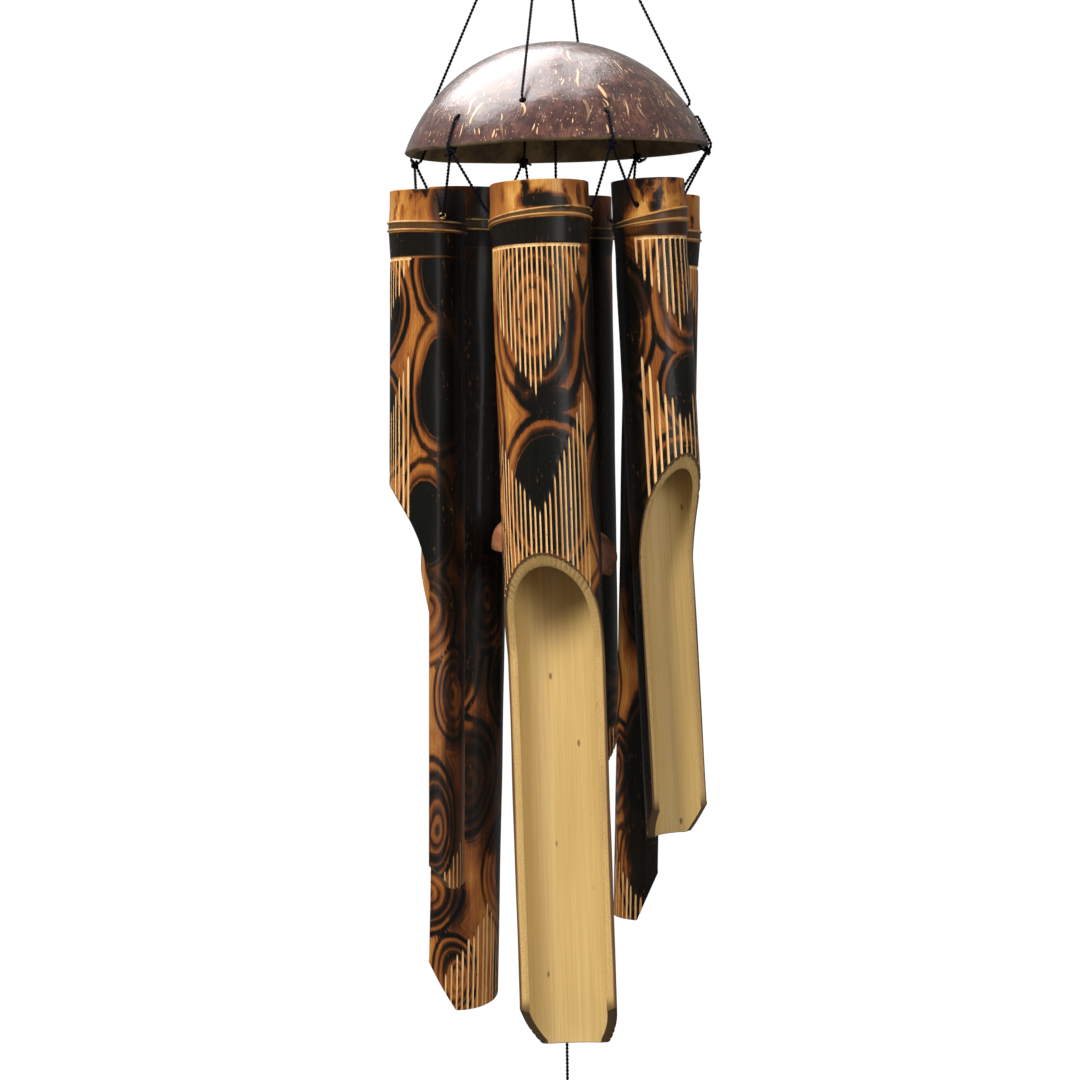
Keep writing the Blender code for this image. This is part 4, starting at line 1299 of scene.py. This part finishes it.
def coconut_shell():
    """A bowl of even wall with a rounded, slightly uneven rim, holed for the cords."""
    steps, rings = 128, 44
    inner = DOME_RADIUS - DOME_WALL
    polars = [RIM_POLAR * i / rings for i in range(1, rings + 1)]
    profile = [(polar, DOME_RADIUS) for polar in polars]
    for k in range(1, 6):
        t = k / 6
        bulge = RIM_BULGE * sin(pi * t)
        profile.append((RIM_POLAR + bulge / DOME_RADIUS, DOME_RADIUS - DOME_WALL * t))
    profile += [(polar, inner) for polar in reversed(polars)]
    crown = (0, 1)
    points, faces, kinds = [(0.0, 0.0, DOME_RADIUS), (0.0, 0.0, inner)], [], []
    rows = []
    for polar, radius in profile:
        row = []
        for k in range(steps):
            a = 2 * pi * k / steps
            x, y = cos(a), sin(a)
            uneven = RIM_WAVE * noise.noise((2.2 * x, 2.2 * y, 5.0)) * (polar / RIM_POLAR) ** 6
            p = polar + uneven / DOME_RADIUS
            lump = SHELL_LUMP * noise.noise((x * sin(p) * 3.1, y * sin(p) * 3.1, cos(p) * 3.1))
            r = radius + lump
            row.append(len(points))
            points.append((r * sin(p) * x, r * sin(p) * y, r * cos(p)))
        rows.append(row)
    for k in range(steps):
        on = (k + 1) % steps
        faces += [(crown[0], rows[0][k], rows[0][on]), (crown[1], rows[-1][on], rows[-1][k])]
        kinds += [0, 1]
    for i, (one, two) in enumerate(zip(rows, rows[1:])):
        faces += band(one, two, flip=True)
        kinds += [0 if i < rings - 1 else (1 if i >= rings + 4 else 2)] * steps
    mesh = mesh_of("coconut_half_shell", points, faces, kinds)
    back = dome_frame().inverted()
    drills = []
    holes = list(SUSPENSION_HOLES.values()) + [(b, TIE_POLAR) for b in TIE_BEARINGS.values()]
    for bearing, polar in holes:
        middle = back @ on_dome(bearing, polar, DOME_WALL / 2)
        drills.append((middle, middle.normalized(), 4 * DOME_WALL))
    mesh = bored("coconut_half_shell", mesh, drills, 1)
    keep_places(mesh)
    placed(
        "coconut_half_shell", mesh, dome_frame(), 42, [SHELL, SHELL_INSIDE, SHELL_INSIDE],
        "canopy", "coconut_dome",
    )


# ---------------------------------------------------------------- clapper, catcher and ring


def lathe(name, profile):
    """A closed solid turned about Z from a profile of (radius, height) with both ends at 0."""
    steps = 96
    points = [(0.0, 0.0, profile[0][1])]
    rows = []
    for radius, height in profile[1:-1]:
        rows.append(list(range(len(points), len(points) + steps)))
        points += [
            (radius * cos(2 * pi * k / steps), radius * sin(2 * pi * k / steps), height)
            for k in range(steps)
        ]
    points.append((0.0, 0.0, profile[-1][1]))
    faces = []
    for k in range(steps):
        on = (k + 1) % steps
        faces.append((0, rows[0][k], rows[0][on]))
        faces.append((len(points) - 1, rows[-1][on], rows[-1][k]))
        for one, two in zip(rows, rows[1:]):
            faces.append((one[k], two[k], two[on], one[on]))
    return mesh_of(name, points, faces)


def clapper():
    """A hand-turned half ball, its lower edge worn by the tubes."""
    profile = [(0.0, CLAPPER_HEIGHT), (0.002, CLAPPER_HEIGHT - 0.0001)]
    steps = 18
    for i in range(1, steps + 1):
        angle = pi / 2 * i / steps
        height = CLAPPER_EDGE + (CLAPPER_HEIGHT - CLAPPER_EDGE) * cos(angle)
        profile.append((CLAPPER_RADIUS * sin(angle), height))
    profile += [
        (0.997 * CLAPPER_RADIUS, 0.0045), (0.983 * CLAPPER_RADIUS, 0.0022),
        (0.97 * CLAPPER_RADIUS, 0.0008), (0.95 * CLAPPER_RADIUS, 0.0002),
        (0.9 * CLAPPER_RADIUS, 0.0), (0.5 * CLAPPER_RADIUS, 0.0), (0.004, 0.0), (0.0, 0.0),
    ]
    mesh = lathe("clapper_ball", profile)
    spots = places_of(mesh)
    for vertex, spot in zip(mesh.vertices, spots):
        rough = noise.noise(tuple(spot * 160)) * 0.00022 + noise.noise(tuple(spot * 420)) * 0.0001
        vertex.co += Vector(spot).normalized() * rough if np.linalg.norm(spot) > 1e-6 else Vector()
    turn = Matrix.Translation(CLAPPER_BASE) @ Matrix.Rotation(CLAPPER_TILT, 4, "Y")
    axis = turn.inverted() @ (UP * (CLAPPER_BASE.z + CLAPPER_HEIGHT / 2))
    up = turn.inverted().to_3x3() @ UP
    mesh = bored("clapper_ball", mesh, [(axis, up, 3 * CLAPPER_HEIGHT)], 0)
    keep_places(mesh)
    placed("clapper_ball", mesh, turn, 40, [CLAPPER_WOOD], "clapper", "clapper")


def clapper_cord():
    """The cord from the centre knot to the knot under the clapper, and from there the catcher's."""
    stopper = Vector((0.0, 0.0, CLAPPER_BASE.z - (SMALL_KNOT_RADIUS + GAP) - 0.003))
    top = CENTRE_KNOT + DOWN * 0.6 * CENTRE_KNOT_RADIUS
    knot = overhand(stopper, DOWN, SMALL_KNOT_RADIUS, 0.5)
    parts = [strand([top, top.lerp(stopper, 0.5), stopper]), knot]
    cord_piece("cord_clapper", "clapper", "clapper_cord", parts)
    start = stopper + DOWN * 0.5 * SMALL_KNOT_RADIUS
    end = Vector((0.0, 0.0, CATCHER_KNOT_Z))
    parts = [strand([start, start.lerp(end, 0.5), end]), overhand(end, DOWN, SMALL_KNOT_RADIUS, 1.3)]
    cord_piece("cord_catcher", "catcher", "catcher_cord", parts)


def wind_catcher():
    """A thin disc, round at its edge and a little domed, on a loop through its one hole."""
    half, radius = CATCHER_HALF_THICKNESS, CATCHER_RADIUS
    profile = [(0.0, half), (0.3 * radius, half), (0.7 * radius, 0.97 * half)]
    for i in range(0, 9):
        angle = pi / 2 - pi * i / 8
        profile.append((radius - half * (1 - cos(angle)) * 0.9, half * 0.93 * sin(angle)))
    profile += [(0.7 * radius, -0.97 * half), (0.3 * radius, -half), (0.0, -half)]
    mesh = lathe("catcher_disc", profile)
    turn = Matrix.Translation(CATCHER_CENTRE) @ Matrix.Rotation(pi / 2, 4, "X")
    hole = Vector((0.0, radius - CATCHER_HOLE_DROP, 0.0))
    mesh = bored("catcher_disc", mesh, [(hole, UP, 8 * half)], 0)
    keep_places(mesh)
    placed("catcher_disc", mesh, turn, 40, [CATCHER_WOOD], "catcher", "wind_catcher")

    centre = UP * (CATCHER_KNOT_Z - 2 * SMALL_KNOT_RADIUS - GAP)
    side, near = Vector((0.0, half + 0.001, 0.0)), Vector((0.0, 0.0006, 0.0))
    eye = CATCHER_CENTRE + UP * (radius - CATCHER_HOLE_DROP)
    line = rounded([centre + near, eye + side, eye - side, centre - near], 0.0012)
    parts = [strand(line), overhand(centre, Vector((0, 1, 0)), SMALL_KNOT_RADIUS, 0.2)]
    cord_piece("cord_catcher_loop", "catcher", "catcher_loop", parts)


def hanging_ring():
    """A ring of round steel wire with the small seam of its closing."""
    around, sides = 120, 20
    points, faces = [], []
    for i in range(around):
        a = 2 * pi * i / around
        pinch = 1 - 0.045 * np.exp(-((wrapped(a - 0.9) / 0.03) ** 2))
        for k in range(sides):
            b = 2 * pi * k / sides
            reach = RING_RADIUS + RING_WIRE * pinch * cos(b)
            points.append((reach * cos(a), RING_WIRE * pinch * sin(b), reach * sin(a) + RING_Z))
    rows = [range(i * sides, (i + 1) * sides) for i in range(around)]
    for one, two in zip(rows, rows[1:] + rows[:1]):
        faces += band(one, two, flip=True)
    mesh = mesh_of("steel_ring", points, faces)
    keep_places(mesh)
    smooth(mesh, 60)
    piece("steel_ring", mesh, [STEEL], "hanger", "hanging_ring")


# ---------------------------------------------------------------- camera and light


def camera():
    """Level with the upper third of the clapper, far back, with a long lens and a slight roll."""
    lens = bpy.data.cameras.new("view")
    lens.sensor_width, lens.lens = 36.0, 173.33
    lens.clip_start, lens.clip_end = 0.1, 60.0
    viewer = bpy.data.objects.new("view", lens)
    bpy.context.scene.collection.objects.link(viewer)
    place, roll = (-0.0084, -2.13, -0.3265), radians(-0.74)
    aim = Matrix.Rotation(pi / 2, 4, "X") @ Matrix.Rotation(roll, 4, "Z")
    viewer.matrix_world = Matrix.Translation(place) @ aim
    bpy.context.scene.camera = viewer


def softbox(name, place, target, width, height, power, glossy=True):
    """A rectangular light that faces a target. If not glossy, the object doesn't mirror it."""
    lamp = bpy.data.lights.new(name, "AREA")
    lamp.shape, lamp.size, lamp.size_y = "RECTANGLE", width, height
    lamp.energy = power
    thing = bpy.data.objects.new(name, lamp)
    thing.visible_glossy = glossy
    bpy.context.scene.collection.objects.link(thing)
    thing.location = place
    thing.rotation_euler = (Vector(target) - Vector(place)).to_track_quat("-Z", "Y").to_euler()


def studio():
    """A white background that the camera sees, a dimmer one that lights the chime, and softboxes."""
    scene = bpy.context.scene
    scene.view_settings.view_transform = "Standard"
    world = bpy.data.worlds.new("studio")
    scene.world = world
    world.use_nodes = True
    tree = world.node_tree
    seen = tree.nodes["Background"]
    seen.inputs["Color"].default_value = (1.0, 1.0, 1.0, 1.0)
    seen.inputs["Strength"].default_value = 1.05
    around = tree.nodes.new("ShaderNodeBackground")
    around.inputs["Color"].default_value = (1.0, 0.99, 0.97, 1.0)
    around.inputs["Strength"].default_value = 0.26
    path, either = tree.nodes.new("ShaderNodeLightPath"), tree.nodes.new("ShaderNodeMixShader")
    tree.links.new(path.outputs["Is Camera Ray"], either.inputs[0])
    tree.links.new(around.outputs[0], either.inputs[1])
    tree.links.new(seen.outputs[0], either.inputs[2])
    tree.links.new(either.outputs[0], tree.nodes["World Output"].inputs["Surface"])

    body = (0.0, 0.0, -0.33)
    softbox("top_left", (-0.64, 0.7, 1.05), (-0.64, 0.7, 0.0), 1.2, 1.95, 46.0)
    softbox("top_right", (0.25, 0.42, 1.05), (0.25, 0.42, 0.0), 0.22, 1.35, 6.0)
    softbox("front_left", (-1.3, -1.7, 1.1), body, 1.0, 1.0, 84.0, glossy=False)
    softbox("front_right", (1.5, -1.9, 0.2), body, 0.9, 1.3, 23.0)


# ---------------------------------------------------------------- the whole

camera()
suspension_cords()
rim_ties()
main_loop()
centre_knot()
coconut_shell()
for tube_name, tube_facts in TUBES.items():
    bamboo_tube(tube_name, tube_facts)
clapper()
clapper_cord()
wind_catcher()
hanging_ring()
studio()
